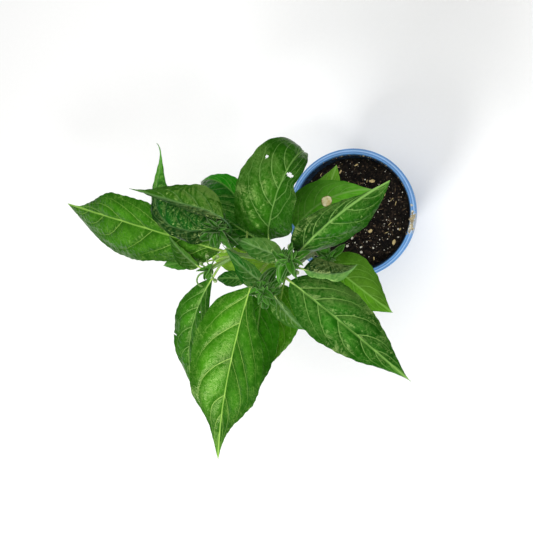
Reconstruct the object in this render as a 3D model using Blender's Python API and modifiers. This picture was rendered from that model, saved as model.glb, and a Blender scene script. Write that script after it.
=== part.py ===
"""A young chilli pepper plant standing in a round plastic pot. Units are metres, +Z is up.

The origin is the centre of the pot's flat underside. The main stem leans out of the soil towards
-X and -Y, forks, and carries broad leaves on long stalks. A stem is a route through a few points.
A leaf is described the way a botanist would: where its blade starts, the heading and rise of its
midrib, how far that droops and bows, and how its two halves fold, arch and roll.
"""

import math

import bmesh
import bpy
from mathutils import Vector, noise

MM = 0.001
GAP = 0.3 * MM

# Pot and soil
POT_HEIGHT = 106 * MM
RIM_RADIUS = 60 * MM
COLLAR_HEIGHT = 12 * MM
LIP_WIDTH = 5.4 * MM
BASE_RADIUS = 42 * MM
WALL = 1.6 * MM
DRAIN_RADIUS = 4 * MM
DRAIN_CIRCLE = 28 * MM
DRAIN_COUNT = 5
POT_STEPS = 40
SOIL_TOP = 92 * MM
SOIL_RELIEF = 1.3 * MM
SOIL_LUMP = 9 * MM
SOIL_RINGS = 7
SOIL_STEPS = 32
BURIED_POINTS = 8

# Foliage
BLADE = 0.7 * MM
LEAF_EDGE = 0.5 * MM
STALK_SIDES = 1
STEM_SIDES = 2
STEP = 8 * MM
WELD = 0.01 * MM
NICK = 0.58
NICK_SPREAD = 0.04
# A stalk's radius in millimetres is the first number, and more for a longer blade.
STALK_RADIUS = 0.55
BLADE_PER_RADIUS = 250
STALK_LEAN = 0.5
STALK_PULL = 0.4
MIDRIB_TAPER = 0.65
MIDRIB_SINK = 0.35
RIPPLES = 3

# Each stem is a route in millimetres, with its radius at the start and at the end.
STEMS = {
    "main": dict(
        radius=(2.6, 1.3),
        points=[
            (1, -3, 64), (-0.5, -7.5, 92), (-4, -16, 130), (-7.5, -25, 165), (-9.5, -30.5, 195),
            (-12.5, -33.5, 222), (-14.5, -35.5, 243), (-10, -34, 262), (-4, -30, 282),
        ],
    ),
    "left": dict(
        radius=(1.8, 1.1),
        points=[(-14.5, -35.5, 242), (-24, -33, 252), (-36, -29.5, 262), (-46, -27, 270), (-50, -20, 279),
                (-49.5, -12, 288)],
    ),
    "twig": dict(radius=(1.2, 0.9), points=[(-45, -27.5, 269), (-53, -32, 272), (-60, -36, 275)]),
    "front": dict(radius=(1.4, 1.0), points=[(-14.5, -35.5, 244), (-16.5, -42, 258), (-20, -47, 268),
                                             (-20.5, -49.5, 276)]),
    "side": dict(radius=(1.0, 0.8), points=[(-9.5, -30.5, 196), (-2, -33, 208), (6, -31.5, 220)]),
}

# Young growth at each stem's end: the headings of its leaves from the lowest and longest to the
# highest, and of the flower buds that nod on thin stalks between them.
SHOOTS = {
    "shoot_centre": dict(stem="main", longest=16, buds=(20, 95, 180, 300),
                         leaves=(250, 28, 165, 302, 80, 218, 355, 133, 270, 48, 185)),
    "shoot_front": dict(stem="front", longest=17, buds=(25, 205),
                        leaves=(262, 40, 178, 315, 92, 230, 8, 145)),
    "shoot_left": dict(stem="left", longest=18, buds=(300, 262, 225),
                       leaves=(205, 316, 135, 258, 165, 290, 225, 350)),
    "shoot_twig": dict(stem="twig", longest=9, buds=(115, 65, 160, 285), leaves=(240, 95)),
    "shoot_side": dict(stem="side", longest=16, buds=(), leaves=(20, 157, 295, 72, 210)),
}
CORE = 5 * MM
# Young leaves start along the core, the lowest longest and most level.
CORE_FOOT, CORE_SHARE = 0.35, 0.55
YOUNG_RISE, YOUNG_LIFT = 12, 50
YOUNG_SHRINK = 0.5
YOUNG_WIDTH = 0.22
YOUNG = dict(droop=55, bow=20, fold=42, cells=4, across=2)
# A bud's half width and half length, and its stalk: how far out, how high, and radii in millimetres.
BUD = (1.4, 2.1)
BUD_REACH = 8 * MM
BUD_LIFT = 2 * MM
BUD_STALK = ((0, 0, 0.5), (0.4, 1, 0.5), (0.75, 1, 0.5), (1, 0, 0.7))
# A flower has dropped from this curled stalk on the twig's shoot.
SPENT_STALK = [(-70, -40.5, 270), (-75.5, -43, 268), (-79, -47, 265), (-79.5, -50.5, 262), (-77, -52.5, 260)]
SPENT_RADIUS = 0.8

# A leaf hangs from its stem at the given share of the stem's length. Its blade starts at base.
# Angles are degrees, lengths millimetres. heading is counted from +X, rise from level.
# Along the midrib the rise falls by droop and the heading turns by bow. Where a midrib winds, headings
# are given instead, at even steps from the stalk to the tip.
# fold is the slope of each half where it leaves the midrib, arch how far that changes by the margin.
# roll tips the blade about its midrib, and twist adds to it towards the tip.
# left and right are the widths of the two halves, at their widest shares of the length. Where the
# margins are given instead, they are the widths of each half at even steps from the stalk to the tip.
# notch is how deep the right margin is nicked at NICK.
LEAF = dict(power=1.3, bow=0, headings=None, roll=0, twist=0, fold=12, arch=-18, widest=(0.36, 0.36),
            blunt=0.63, margins=None, notch=0, ripple=0.0, cells=8, across=4, rib=0.75)
LEAVES = {
    "leaf_front_large": dict(
        stem="left", at=0.28, base=(-36, -49, 268), heading=-110, rise=-6, droop=12, bow=9, length=151,
        margins=((0, 14, 27.5, 32.5, 30, 21, 10.5, 3.5, 0), (0, 22, 29, 32, 31.5, 26, 13, 5, 0)),
        roll=19, twist=-18, fold=20, arch=-14, ripple=1.2, cells=12, across=6),
    "leaf_front_left": dict(
        stem="twig", at=0.75, base=(-70, -46, 258), heading=-125, rise=-8, droop=22, bow=36, length=112,
        left=15, right=18, roll=14, twist=5, fold=16, arch=-16, widest=(0.43, 0.42), blunt=1.0,
        ripple=1.0, cells=10, across=6),
    "leaf_front_shaded": dict(
        stem="main", at=0.79, base=(-36, -56, 245), heading=-99, rise=-4, droop=23, bow=-4, length=96,
        left=17, right=16, cells=10),
    "leaf_front_low": dict(
        stem="main", at=0.68, base=(-29, -54, 217), heading=-97, rise=4, droop=27, bow=-18, length=81,
        left=19, right=14, widest=(0.29, 0.35)),
    "leaf_right_front": dict(
        stem="main", at=0.86, base=(-6, -44, 275), heading=-34, rise=2, droop=30, bow=-13, length=104,
        left=21, right=20, roll=-5, blunt=0.72, widest=(0.34, 0.34), ripple=1.0, cells=10, across=6),
    "leaf_right_low": dict(
        stem="main", at=0.6, base=(2, -36, 205), heading=-36, rise=9, droop=34, bow=-3, length=64,
        left=20, right=15, roll=-3, widest=(0.33, 0.41)),
    "leaf_right_back": dict(
        stem="main", at=0.94, base=(-1, -26, 277), heading=46, rise=20, droop=27, bow=-17, length=77,
        left=13, right=19, roll=38, twist=-16, fold=5, arch=-20, widest=(0.25, 0.5), blunt=0.76,
        ripple=0.8, cells=10, across=6),
    "leaf_right_middle": dict(
        stem="main", at=0.71, base=(-13, -10, 238), heading=54, rise=14, droop=28, bow=-56, length=64,
        left=17, right=14, widest=(0.31, 0.38)),
    "leaf_right_under": dict(
        stem="main", at=0.58, base=(-16, -17, 208), heading=54, rise=4, droop=30, bow=26, length=61,
        left=16, right=14, widest=(0.39, 0.4)),
    "leaf_back_large": dict(
        stem="left", at=0.12, base=(-24, -18, 266), rise=28, droop=170, power=3.6, length=82,
        headings=(86, 72, 67, 66, 62, 63, 62, 56, 50),
        margins=((0, 21, 25.5, 26.5, 27, 25, 20.5, 12.5, 0), (0, 13.5, 20, 17.5, 16, 12.5, 10.5, 4, 0)),
        twist=-6, fold=25, arch=-12, notch=0.25, ripple=1.0, cells=14, across=6),
    "leaf_back_left": dict(
        stem="left", at=0.5, base=(-46, -8.5, 250), heading=96, rise=4, droop=46, bow=100, length=68,
        left=24, right=11, roll=12, twist=10, fold=18, arch=-15, widest=(0.42, 0.3), cells=10),
    "leaf_back_under": dict(
        stem="main", at=0.76, base=(-36, -24, 234), heading=146, rise=6, droop=26, bow=10, length=52,
        left=14, right=16),
    "leaf_centre_upper": dict(
        stem="main", at=0.94, base=(-10, -28, 280), heading=159, rise=5, droop=22, bow=4, length=39,
        left=8, right=8, widest=(0.34, 0.28)),
    "leaf_centre_front": dict(
        stem="front", at=0.8, base=(-24, -46, 276), heading=146, rise=8, droop=18, bow=-12, length=39,
        left=9, right=6, widest=(0.24, 0.32), blunt=0.66),
    "leaf_centre_small": dict(
        stem="front", at=0.6, base=(-37.5, -44.5, 273), heading=171, rise=1, droop=37, bow=25, length=27,
        left=6, right=5, fold=14, widest=(0.41, 0.41), cells=6),
    "leaf_centre_under": dict(
        stem="main", at=0.64, base=(-35, -38, 208), heading=182, rise=-3, droop=19, bow=-8, length=68,
        left=13, right=13, widest=(0.4, 0.38)),
    "leaf_right_folded": dict(
        stem="main", at=0.9, base=(4.5, -35, 282), rise=6, droop=13, length=37,
        headings=(-12, -14, -8, -2, 2, 8, 18, 34, 50),
        margins=((0, 8, 9.5, 9, 8, 6.5, 5, 3, 0), (0, 3, 3.5, 3.5, 4, 5, 3, 1, 0)), cells=8),
    "leaf_left_upper": dict(
        stem="left", at=0.92, base=(-42.5, -3.5, 299), rise=5, droop=20, length=76,
        headings=(146, 156, 166, 167, 164, 168, 165, 168, 168),
        margins=((0, 3.5, 4.5, 3.5, 2.5, 2, 1, 0.5, 0), (0, 11, 14.5, 13, 10.5, 7, 3.5, 1, 0)),
        fold=10, ripple=0.6, cells=12),
    "leaf_left_large": dict(
        stem="left", at=0.72, base=(-58, -25.5, 268.5), heading=165.5, rise=-2, droop=22, bow=4, length=162,
        margins=((0, 19, 22, 26, 31, 31, 23, 13, 0), (0, 10, 17, 20, 20, 20, 10, 1.5, 0)),
        roll=-19, fold=8, arch=-20, ripple=1.2, cells=14, across=6),
    "leaf_left_cupped": dict(
        stem="left", at=0.86, base=(-56.5, -11.5, 281), rise=-1, droop=16, length=102,
        headings=(160, 188, 175, 165, 140, 120, 93, 80, 92, 100, 140),
        margins=((0, 9, 7.5, 5.5, 6, 3.5, 2.5, 1, 0), (0, 19, 19, 20, 20, 14, 4, 1, 0)), cells=16),
    "leaf_left_folded": dict(
        stem="twig", at=0.55, base=(-75, -37, 270), heading=147, rise=3, droop=19, bow=-16, length=33,
        left=8, right=3, cells=6),
    "leaf_left_small": dict(
        stem="twig", at=0.2, base=(-88, -36, 252), heading=183, rise=-8, droop=21, bow=9, length=33,
        left=5, right=8, cells=6),
    "leaf_front_folded": dict(
        stem="front", at=0.95, base=(-16, -54, 277), heading=-62, rise=-10, droop=23, bow=21, length=33,
        left=3, right=8, fold=13, cells=6),
}


# ---------------------------------------------------------------- small helpers
def collection(name):
    made = bpy.data.collections.new(name)
    bpy.context.scene.collection.children.link(made)
    return made


def place(name, mesh, home):
    obj = bpy.data.objects.new(name, mesh)
    home.objects.link(obj)
    return obj


def discard(obj):
    bpy.data.objects.remove(obj, do_unlink=True)


def as_mesh(obj, name, home):
    """The object with its modifiers applied, or a curve with its caps welded, as a plain mesh object."""
    graph = bpy.context.evaluated_depsgraph_get()
    mesh = bpy.data.meshes.new_from_object(obj.evaluated_get(graph))
    if obj.type == "CURVE":
        shape = bmesh.new()
        shape.from_mesh(mesh)
        bmesh.ops.remove_doubles(shape, verts=shape.verts, dist=WELD)
        shape.to_mesh(mesh)
        shape.free()
    solid = place(name, mesh, home)
    solid.matrix_world = obj.matrix_world
    discard(obj)
    solid.name = name
    return solid


def fuse(name, pieces, home, solver="EXACT"):
    """One body made from pieces that run into each other."""
    body, others = pieces[0], pieces[1:]
    joined = collection(name + "_pieces")
    for piece in others:
        home.objects.unlink(piece)
        joined.objects.link(piece)
    union = body.modifiers.new("join", "BOOLEAN")
    union.operation = "UNION"
    union.operand_type = "COLLECTION"
    union.collection = joined
    union.solver = solver
    solid = as_mesh(body, name, home)
    for piece in others:
        discard(piece)
    bpy.data.collections.remove(joined)
    return solid


def rounded(knots, i, t):
    """The Catmull-Rom curve through the knots, at the share t of the way from knot i to the next."""
    b, c = knots[i], knots[i + 1]
    a = knots[i - 1] if i > 0 else 2 * b - c
    d = knots[i + 2] if i + 2 < len(knots) else 2 * c - b
    return 0.5 * (2 * b + (c - a) * t + (2 * a - 5 * b + 4 * c - d) * t * t
                  + (3 * b - a - 3 * c + d) * t ** 3)


def finish(obj, colour, roughness):
    """Its own Principled material, and smooth shading that keeps the sharp edges."""
    material = bpy.data.materials.new(obj.name)
    material.use_nodes = True
    shader = material.node_tree.nodes["Principled BSDF"]
    shader.inputs["Base Color"].default_value = (*colour, 1)
    shader.inputs["Roughness"].default_value = roughness
    shader.inputs["Metallic"].default_value = 0
    obj.data.materials.clear()
    obj.data.materials.append(material)
    obj.data.shade_smooth()
    obj.data.set_sharp_from_angle(angle=math.radians(40))


# ---------------------------------------------------------------- pot and soil
def pot_wall(height):
    """Outer radius of the tapered wall at a height."""
    return BASE_RADIUS + (RIM_RADIUS - LIP_WIDTH + WALL - BASE_RADIUS) * height / POT_HEIGHT


def turned(name, profile, steps, home):
    """A closed profile of (radius, height), outer side first and running down, turned about Z."""
    mesh = bpy.data.meshes.new(name)
    ends = range(len(profile))
    edges = [(i, (i + 1) % len(profile)) for i in ends]
    mesh.from_pydata([(radius, 0, height) for radius, height in profile], edges, [])
    obj = place(name, mesh, home)
    screw = obj.modifiers.new("turn", "SCREW")
    screw.steps = screw.render_steps = steps
    screw.use_merge_vertices = True
    screw.merge_threshold = WELD
    return obj


def make_pot(home, cutters):
    """Wall, floor and a rolled rim whose skirt hangs clear of the wall."""
    top = POT_HEIGHT
    skirt = 1.3 * MM
    under = top - 2.2 * MM
    inner_rim = RIM_RADIUS - LIP_WIDTH
    profile = [
        (RIM_RADIUS - 0.8 * MM, top), (RIM_RADIUS, top - 0.8 * MM),
        (RIM_RADIUS - 0.4 * MM, top - COLLAR_HEIGHT),
        (RIM_RADIUS - skirt - 0.4 * MM, top - COLLAR_HEIGHT), (RIM_RADIUS - skirt, under),
        (pot_wall(under), under), (pot_wall(1.2 * MM), 1.2 * MM), (BASE_RADIUS - 1.2 * MM, 0), (0, 0),
        (0, WALL), (pot_wall(WALL) - WALL, WALL), (pot_wall(under) - WALL, under), (inner_rim, top - 1 * MM),
        (inner_rim + 0.9 * MM, top),
    ]
    pot = turned("pot", profile, POT_STEPS, home)
    for i in range(DRAIN_COUNT):
        angle = 2 * math.pi * i / DRAIN_COUNT
        bpy.ops.mesh.primitive_cylinder_add(vertices=12, radius=DRAIN_RADIUS, depth=4 * WALL)
        drill = bpy.context.object
        drill.name = f"drain_cutter_{i}"
        drill.location = (DRAIN_CIRCLE * math.cos(angle), DRAIN_CIRCLE * math.sin(angle), WALL / 2)
        drill.display_type = "WIRE"
        drill.hide_render = True
        for holder in list(drill.users_collection):
            holder.objects.unlink(drill)
        cutters.objects.link(drill)
    cut = pot.modifiers.new("drain_holes", "BOOLEAN")
    cut.operation = "DIFFERENCE"
    cut.operand_type = "COLLECTION"
    cut.collection = cutters
    pot = as_mesh(pot, "pot", home)
    for drill in list(cutters.objects):
        discard(drill)
    finish(pot, (0.16, 0.38, 0.71), 0.35)


def make_soil(home):
    """The root ball and mix that fill the pot, with a lumpy top and a plain hole for the stem."""
    bottom = WALL + GAP
    reach = pot_wall(SOIL_TOP) - WALL - GAP
    profile = [(reach, SOIL_TOP), (pot_wall(bottom) - WALL - GAP, bottom), (0, bottom), (0, SOIL_TOP)]
    profile += [(reach * ring / SOIL_RINGS, SOIL_TOP) for ring in range(1, SOIL_RINGS)]
    soil = as_mesh(turned("soil_blank", profile, SOIL_STEPS, home), "soil", home)
    for vertex in soil.data.vertices:
        if vertex.co.z > SOIL_TOP - GAP:
            lump = noise.noise(vertex.co / SOIL_LUMP)
            edge = min(1.0, (reach - vertex.co.xy.length) / SOIL_LUMP)
            vertex.co.z += SOIL_RELIEF * lump * edge
    route, radii = stem_route(STEMS["main"])
    route[0] += (route[0] - route[1]).normalized() * GAP
    radii = [radius + GAP / MM for radius in radii]
    hole = tube("soil_hole", route[:BURIED_POINTS], radii[:BURIED_POINTS], home, sides=STEM_SIDES)
    cut = soil.modifiers.new("stem_hole", "BOOLEAN")
    cut.operation = "DIFFERENCE"
    cut.object = hole
    soil = as_mesh(soil, "soil", home)
    discard(hole)
    finish(soil, (0.022, 0.016, 0.013), 0.95)


# ---------------------------------------------------------------- stems
def smooth_route(points, step):
    """Points about a step apart on a smooth curve through the given ones."""
    knots = [Vector(point) * MM for point in points]
    route = []
    for i, (start, end) in enumerate(zip(knots, knots[1:])):
        count = max(1, round((end - start).length / step))
        route += [rounded(knots, i, j / count) for j in range(count)]
    return route + [knots[-1]]


def tube(name, route, radii, home, sides):
    """A round rod along a route, with a radius in millimetres at each point."""
    curve = bpy.data.curves.new(name, "CURVE")
    curve.dimensions = "3D"
    curve.bevel_depth = MM
    curve.bevel_resolution = sides
    curve.use_fill_caps = True
    spline = curve.splines.new("POLY")
    spline.points.add(len(route) - 1)
    for point, place_at, radius in zip(spline.points, route, radii):
        point.co = (*place_at, 1)
        point.radius = radius
    return as_mesh(place(name + "_curve", curve, home), name, home)


def stem_route(stem):
    route = smooth_route(stem["points"], STEP)
    first, last = stem["radius"]
    share = [i / (len(route) - 1) for i in range(len(route))]
    return route, [first + (last - first) * t for t in share]


def along(stem, at):
    """Point, direction and radius in metres at a share of a stem's length."""
    route, radii = stem_route(stem)
    lengths = [(b - a).length for a, b in zip(route, route[1:])]
    left = at * sum(lengths)
    for i, length in enumerate(lengths):
        if left <= length or i == len(lengths) - 1:
            t = min(1.0, left / length)
            return route[i].lerp(route[i + 1], t), (route[i + 1] - route[i]).normalized(), radii[i] * MM
        left -= length


def make_stems(home):
    """Main stem, side branches and twig, grown together as one woody piece."""
    rods = [tube(name + "_rod", *stem_route(stem), home, sides=STEM_SIDES) for name, stem in STEMS.items()]
    finish(fuse("stem", rods, home), (0.36, 0.42, 0.16), 0.6)


# ---------------------------------------------------------------- leaves
def at_steps(values, s):
    """The smooth curve through values given at even steps, at the share s."""
    knots = [Vector((value, 0, 0)) for value in values]
    place_at = s * (len(knots) - 1)
    step = min(int(place_at), len(knots) - 2)
    return rounded(knots, step, place_at - step).x


def heading_at(leaf, s):
    if leaf["headings"]:
        return math.radians(at_steps(leaf["headings"], s))
    return math.radians(leaf["heading"] + leaf["bow"] * s)


def direction(leaf, s):
    """Which way the midrib runs at the share s of the blade."""
    rise = math.radians(leaf["rise"] - leaf["droop"] * s ** leaf["power"])
    heading = heading_at(leaf, s)
    return Vector((math.cos(rise) * math.cos(heading), math.cos(rise) * math.sin(heading), math.sin(rise)))


def midrib(leaf, s):
    """Point on the midrib, with the blade's left and upward directions there."""
    point = Vector(leaf["base"]) * MM
    steps = max(1, round(40 * s))
    for i in range(steps):
        point += direction(leaf, s * (i + 0.5) / steps) * leaf["length"] * MM * s / steps
    heading = heading_at(leaf, s)
    level = Vector((-math.sin(heading), math.cos(heading), 0))
    upward = direction(leaf, s).cross(level)
    roll = math.radians(leaf["roll"] + leaf["twist"] * s)
    left = level * math.cos(roll) + upward * math.sin(roll)
    return point, left, direction(leaf, s).cross(left)


def half_width(leaf, s, side):
    """Distance from midrib to margin: rounded at the stalk, drawn out to a fine tip."""
    if s <= 0 or s >= 1:
        return LEAF_EDGE
    if leaf["margins"]:
        width = at_steps(leaf["margins"][side], s)
    else:
        widest = leaf["widest"][side]
        sharp = leaf["blunt"] * (1 - widest) / widest
        width = leaf[("left", "right")[side]] * (s / widest) ** leaf["blunt"]
        width *= ((1 - s) / (1 - widest)) ** sharp * (1 - 0.3 * s ** 5)
    width *= 1 - side * leaf["notch"] * math.exp(-((s - NICK) / NICK_SPREAD) ** 2)
    return max(LEAF_EDGE, width * MM)


def blade_point(leaf, s, v):
    """Point of the blade at s along the midrib and v across it, from -1 at the right margin to 1."""
    point, left, upward = midrib(leaf, s)
    side = 0 if v > 0 else 1
    width = half_width(leaf, s, side)
    fold, arch = math.radians(leaf["fold"]), math.radians(leaf["arch"])
    outward = (math.sin(fold + arch * abs(v)) - math.sin(fold)) / arch
    raised = (math.cos(fold) - math.cos(fold + arch * abs(v))) / arch
    wave = math.sin(2 * math.pi * RIPPLES * s + 2 * side) * math.sin(math.pi * s)
    wave *= leaf["ripple"] * MM * abs(v) ** 3
    return point + left * math.copysign(outward, v) * width + upward * (raised * width + wave)


def make_blade(name, leaf, home):
    """The blade as a bent grid, split into triangles before it is thickened into a solid."""
    shape = bmesh.new()
    bmesh.ops.create_grid(shape, x_segments=leaf["cells"], y_segments=leaf["across"], size=1)
    for vertex in shape.verts:
        vertex.co = blade_point(leaf, (vertex.co.x + 1) / 2, vertex.co.y)
    bmesh.ops.triangulate(shape, faces=shape.faces)
    mesh = bpy.data.meshes.new(name)
    shape.to_mesh(mesh)
    shape.free()
    sheet = place(name + "_sheet", mesh, home)
    thicken = sheet.modifiers.new("thickness", "SOLIDIFY")
    thicken.thickness = BLADE
    thicken.offset = 0
    return as_mesh(sheet, name, home)


def stalk_radius(leaf):
    """In millimetres, where the stalk leaves the stem."""
    return STALK_RADIUS + leaf["length"] / BLADE_PER_RADIUS


def stalk_start(leaf):
    """Where a stalk leaves its stem's surface, and the way it points there."""
    point, along_stem, stem_radius = along(STEMS[leaf["stem"]], leaf["at"])
    away = Vector(leaf["base"]) * MM - point
    away -= away.dot(along_stem) * along_stem
    start_way = (away.normalized() + STALK_LEAN * along_stem).normalized()
    lean = start_way.dot(along_stem)
    reach = (stem_radius + GAP + stalk_radius(leaf) * MM * abs(lean)) / math.sqrt(1 - lean * lean)
    return point + start_way * reach, start_way


def make_stalk(name, leaf, home):
    """Leaf stalk that runs on under the blade as its midrib."""
    start, way = stalk_start(leaf)
    thick = stalk_radius(leaf)
    base = Vector(leaf["base"]) * MM
    pull = STALK_PULL * (base - start).length
    count = max(1, round((base - start).length / STEP))
    route = []
    for i in range(count):
        t = i / count
        route.append(start * (1 - t) ** 3 + (start + way * pull) * 3 * t * (1 - t) ** 2
                     + (base - direction(leaf, 0) * pull) * 3 * t * t * (1 - t) + base * t ** 3)
    radii = [thick] * count
    ribs = max(1, round(leaf["rib"] * leaf["cells"] / 1.5))
    for i in range(ribs + 1):
        s = leaf["rib"] * i / ribs
        rib, _, upward = midrib(leaf, s)
        radius = thick * (1 - MIDRIB_TAPER * i / ribs)
        route.append(rib - upward * radius * MIDRIB_SINK * MM)
        radii.append(radius)
    return tube(name, route, radii, home, sides=STALK_SIDES)


def make_leaf(name, leaf, home):
    pieces = [make_stalk(name + "_stalk", leaf, home), make_blade(name + "_blade", leaf, home)]
    finish(fuse(name, pieces, home), (0.045, 0.18, 0.02), 0.38)


# ---------------------------------------------------------------- young shoots
def heading_vector(heading, rise):
    heading, rise = math.radians(heading), math.radians(rise)
    return Vector((math.cos(rise) * math.cos(heading), math.cos(rise) * math.sin(heading), math.sin(rise)))


def young_leaf(root, heading, rise, length):
    """A small folded leaf whose blade starts in the shoot's core."""
    return {**LEAF, **YOUNG, "base": root / MM, "heading": heading, "rise": rise, "length": length,
            "left": YOUNG_WIDTH * length, "right": YOUNG_WIDTH * length}


def make_bud(name, root, heading, home):
    """A flower bud nodding at the end of a thin stalk."""
    out = heading_vector(heading, 0) * BUD_REACH
    up = Vector((0, 0, BUD_LIFT))
    route = [root + out * far + up * high for far, high, _ in BUD_STALK]
    stalk = tube(name + "_stalk", route, [radius for _, _, radius in BUD_STALK], home, sides=0)
    shape = bmesh.new()
    bmesh.ops.create_uvsphere(shape, u_segments=6, v_segments=4, radius=MM)
    tip = (route[-1] - route[-2]).normalized()
    turn = Vector((0, 0, 1)).rotation_difference(tip).to_matrix()
    for vertex in shape.verts:
        across, length = BUD
        stretched = Vector((vertex.co.x * across, vertex.co.y * across, vertex.co.z * length))
        vertex.co = route[-1] + tip * length / 2 * MM + turn @ stretched
    mesh = bpy.data.meshes.new(name)
    shape.to_mesh(mesh)
    shape.free()
    return [stalk, place(name, mesh, home)]


def make_shoot(name, shoot, home):
    """The tip of a stem with its youngest leaves and buds, all one piece."""
    point, way, radius = along(STEMS[shoot["stem"]], 1)
    foot = point + way * GAP
    tip = foot + way * CORE
    thick = radius / MM
    radii = [thick, thick, 0.7 * thick]
    pieces = [tube(name + "_core", [foot, foot.lerp(tip, 0.5), tip], radii, home, sides=1)]
    for i, heading in enumerate(shoot["leaves"]):
        share = i / (len(shoot["leaves"]) - 1)
        root = foot.lerp(tip, CORE_FOOT + CORE_SHARE * share)
        leaf = young_leaf(root, heading, YOUNG_RISE + YOUNG_LIFT * share,
                          shoot["longest"] * (1 - YOUNG_SHRINK * share))
        pieces.append(make_blade(f"{name}_{i}", leaf, home))
    for heading in shoot["buds"]:
        pieces += make_bud(f"{name}_bud_{heading}", foot.lerp(tip, 0.5), heading, home)
    if shoot["stem"] == "twig":
        route = smooth_route([foot.lerp(tip, 0.5) / MM] + SPENT_STALK, STEP / 2)
        pieces.append(tube(name + "_spent", route, [SPENT_RADIUS] * len(route), home, sides=STALK_SIDES))
    finish(fuse(name, pieces, home), (0.12, 0.26, 0.08), 0.45)


def main():
    for obj in list(bpy.data.objects):
        discard(obj)
    plant = collection("potted_chilli_plant")
    cutters = collection("cutters")
    make_pot(plant, cutters)
    make_soil(plant)
    make_stems(plant)
    for name, leaf in LEAVES.items():
        make_leaf(name, {**LEAF, **leaf}, plant)
    for name, shoot in SHOOTS.items():
        make_shoot(name, shoot, plant)


main()
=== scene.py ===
"""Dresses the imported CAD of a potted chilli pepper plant: pot, potting mix, stems, leaves and shoots.

Laid out as an add-on with one operator for each group of pieces. Units are metres and +Z is up.
A leaf blade is a fine sheet over the same midrib, margins and fold as its CAD solid, to which it
adds side veins, the puckers between them, and a pale net of small veins.
"""

import math
import random

import bmesh
import bpy
import numpy as np
from bpy.props import FloatProperty, FloatVectorProperty, IntProperty, PointerProperty
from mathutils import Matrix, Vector, noise


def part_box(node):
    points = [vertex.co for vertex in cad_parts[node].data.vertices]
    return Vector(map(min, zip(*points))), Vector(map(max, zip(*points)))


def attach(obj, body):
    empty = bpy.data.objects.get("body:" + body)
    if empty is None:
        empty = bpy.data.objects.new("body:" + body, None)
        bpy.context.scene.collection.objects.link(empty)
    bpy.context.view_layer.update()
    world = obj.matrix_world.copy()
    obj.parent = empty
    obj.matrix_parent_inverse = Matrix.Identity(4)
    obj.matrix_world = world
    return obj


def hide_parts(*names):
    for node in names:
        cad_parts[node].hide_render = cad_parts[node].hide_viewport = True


bl_info = {
    "name": "Potted Chilli Plant",
    "version": (1, 0, 0),
    "blender": (4, 5, 0),
    "location": "3D View > Sidebar > Chilli Plant",
    "description": "Builds a young chilli pepper plant in a round plastic pot",
    "category": "Add Mesh",
}

MM = 0.001
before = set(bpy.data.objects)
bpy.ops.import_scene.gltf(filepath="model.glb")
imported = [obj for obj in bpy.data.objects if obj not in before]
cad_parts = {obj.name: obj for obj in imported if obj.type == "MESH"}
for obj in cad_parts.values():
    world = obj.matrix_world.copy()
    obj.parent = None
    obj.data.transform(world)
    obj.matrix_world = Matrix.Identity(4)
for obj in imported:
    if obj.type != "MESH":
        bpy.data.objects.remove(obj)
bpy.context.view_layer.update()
POT_LOW, POT_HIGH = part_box("pot")
SOIL_LOW, SOIL_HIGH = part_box("soil")


def linear(hex_colour):
    """An sRGB hex colour as linear red, green, blue and alpha."""
    parts = [int(hex_colour[i:i + 2], 16) / 255 for i in (1, 3, 5)]
    return tuple(c / 12.92 if c <= 0.04045 else ((c + 0.055) / 1.055) ** 2.4 for c in parts) + (1.0,)


# ---------------------------------------------------------------- routes and leaves, as in the CAD
# Stems: routes in millimetres, with the radius at the start and at the end.
STEMS = {
    "main": dict(
        radius=(2.6, 1.3),
        points=[
            (1, -3, 64), (-0.5, -7.5, 92), (-4, -16, 130), (-7.5, -25, 165), (-9.5, -30.5, 195),
            (-12.5, -33.5, 222), (-14.5, -35.5, 243), (-10, -34, 262), (-4, -30, 282),
        ],
    ),
    "left": dict(
        radius=(1.8, 1.1),
        points=[(-14.5, -35.5, 242), (-24, -33, 252), (-36, -29.5, 262), (-46, -27, 270), (-50, -20, 279),
                (-49.5, -12, 288)],
    ),
    "twig": dict(radius=(1.2, 0.9), points=[(-45, -27.5, 269), (-53, -32, 272), (-60, -36, 275)]),
    "front": dict(radius=(1.4, 1.0), points=[(-14.5, -35.5, 244), (-16.5, -42, 258), (-20, -47, 268),
                                             (-20.5, -49.5, 276)]),
    "side": dict(radius=(1.0, 0.8), points=[(-9.5, -30.5, 196), (-2, -33, 208), (6, -31.5, 220)]),
}
# Shoots: greens of the two halves of a leaf, the longest leaf in millimetres, how crowded and which way
# the youngest leaves hang, and headings in degrees of the flower buds and of the larger leaves.
# Each shoot's greens are a lighter or darker copy of one young green, as painted light and shade: shoot_left
# is painted darker, as shaded, and shoot_centre and shoot_twig paler, as lit.
SHOOTS = {
    "shoot_centre": dict(
        stem="main", green=("#2E6B10", "#3D7E16"), longest=16, crowded=1.8, lean=235, buds=(20, 95, 180, 300),
        leaves=(250, 28, 165, 302, 80, 218, 355, 133, 270, 48, 185)),
    "shoot_front": dict(
        stem="front", green=("#25600B", "#317210"), longest=17, crowded=1.2, lean=60, buds=(25, 205),
        leaves=(262, 40, 178, 315, 92, 230, 8, 145)),
    "shoot_left": dict(
        stem="left", green=("#1E5509", "#29650E"), longest=18, crowded=1.4, lean=290, buds=(300, 262, 225),
        leaves=(205, 316, 135, 258, 165, 290, 225, 350)),
    "shoot_twig": dict(
        stem="twig", green=("#357114", "#45851B"), longest=9, crowded=0.15, lean=90,
        buds=(115, 65, 160, 285), leaves=(240, 95)),
    "shoot_side": dict(
        stem="side", green=("#28650A", "#35780F"), longest=16, crowded=0.9, lean=215, buds=(),
        leaves=(20, 157, 295, 72, 210)),
}
# A shoot's core: its length, and the gap that keeps it clear of the stem.
CORE = 5 * MM
GAP = 0.3 * MM
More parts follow.
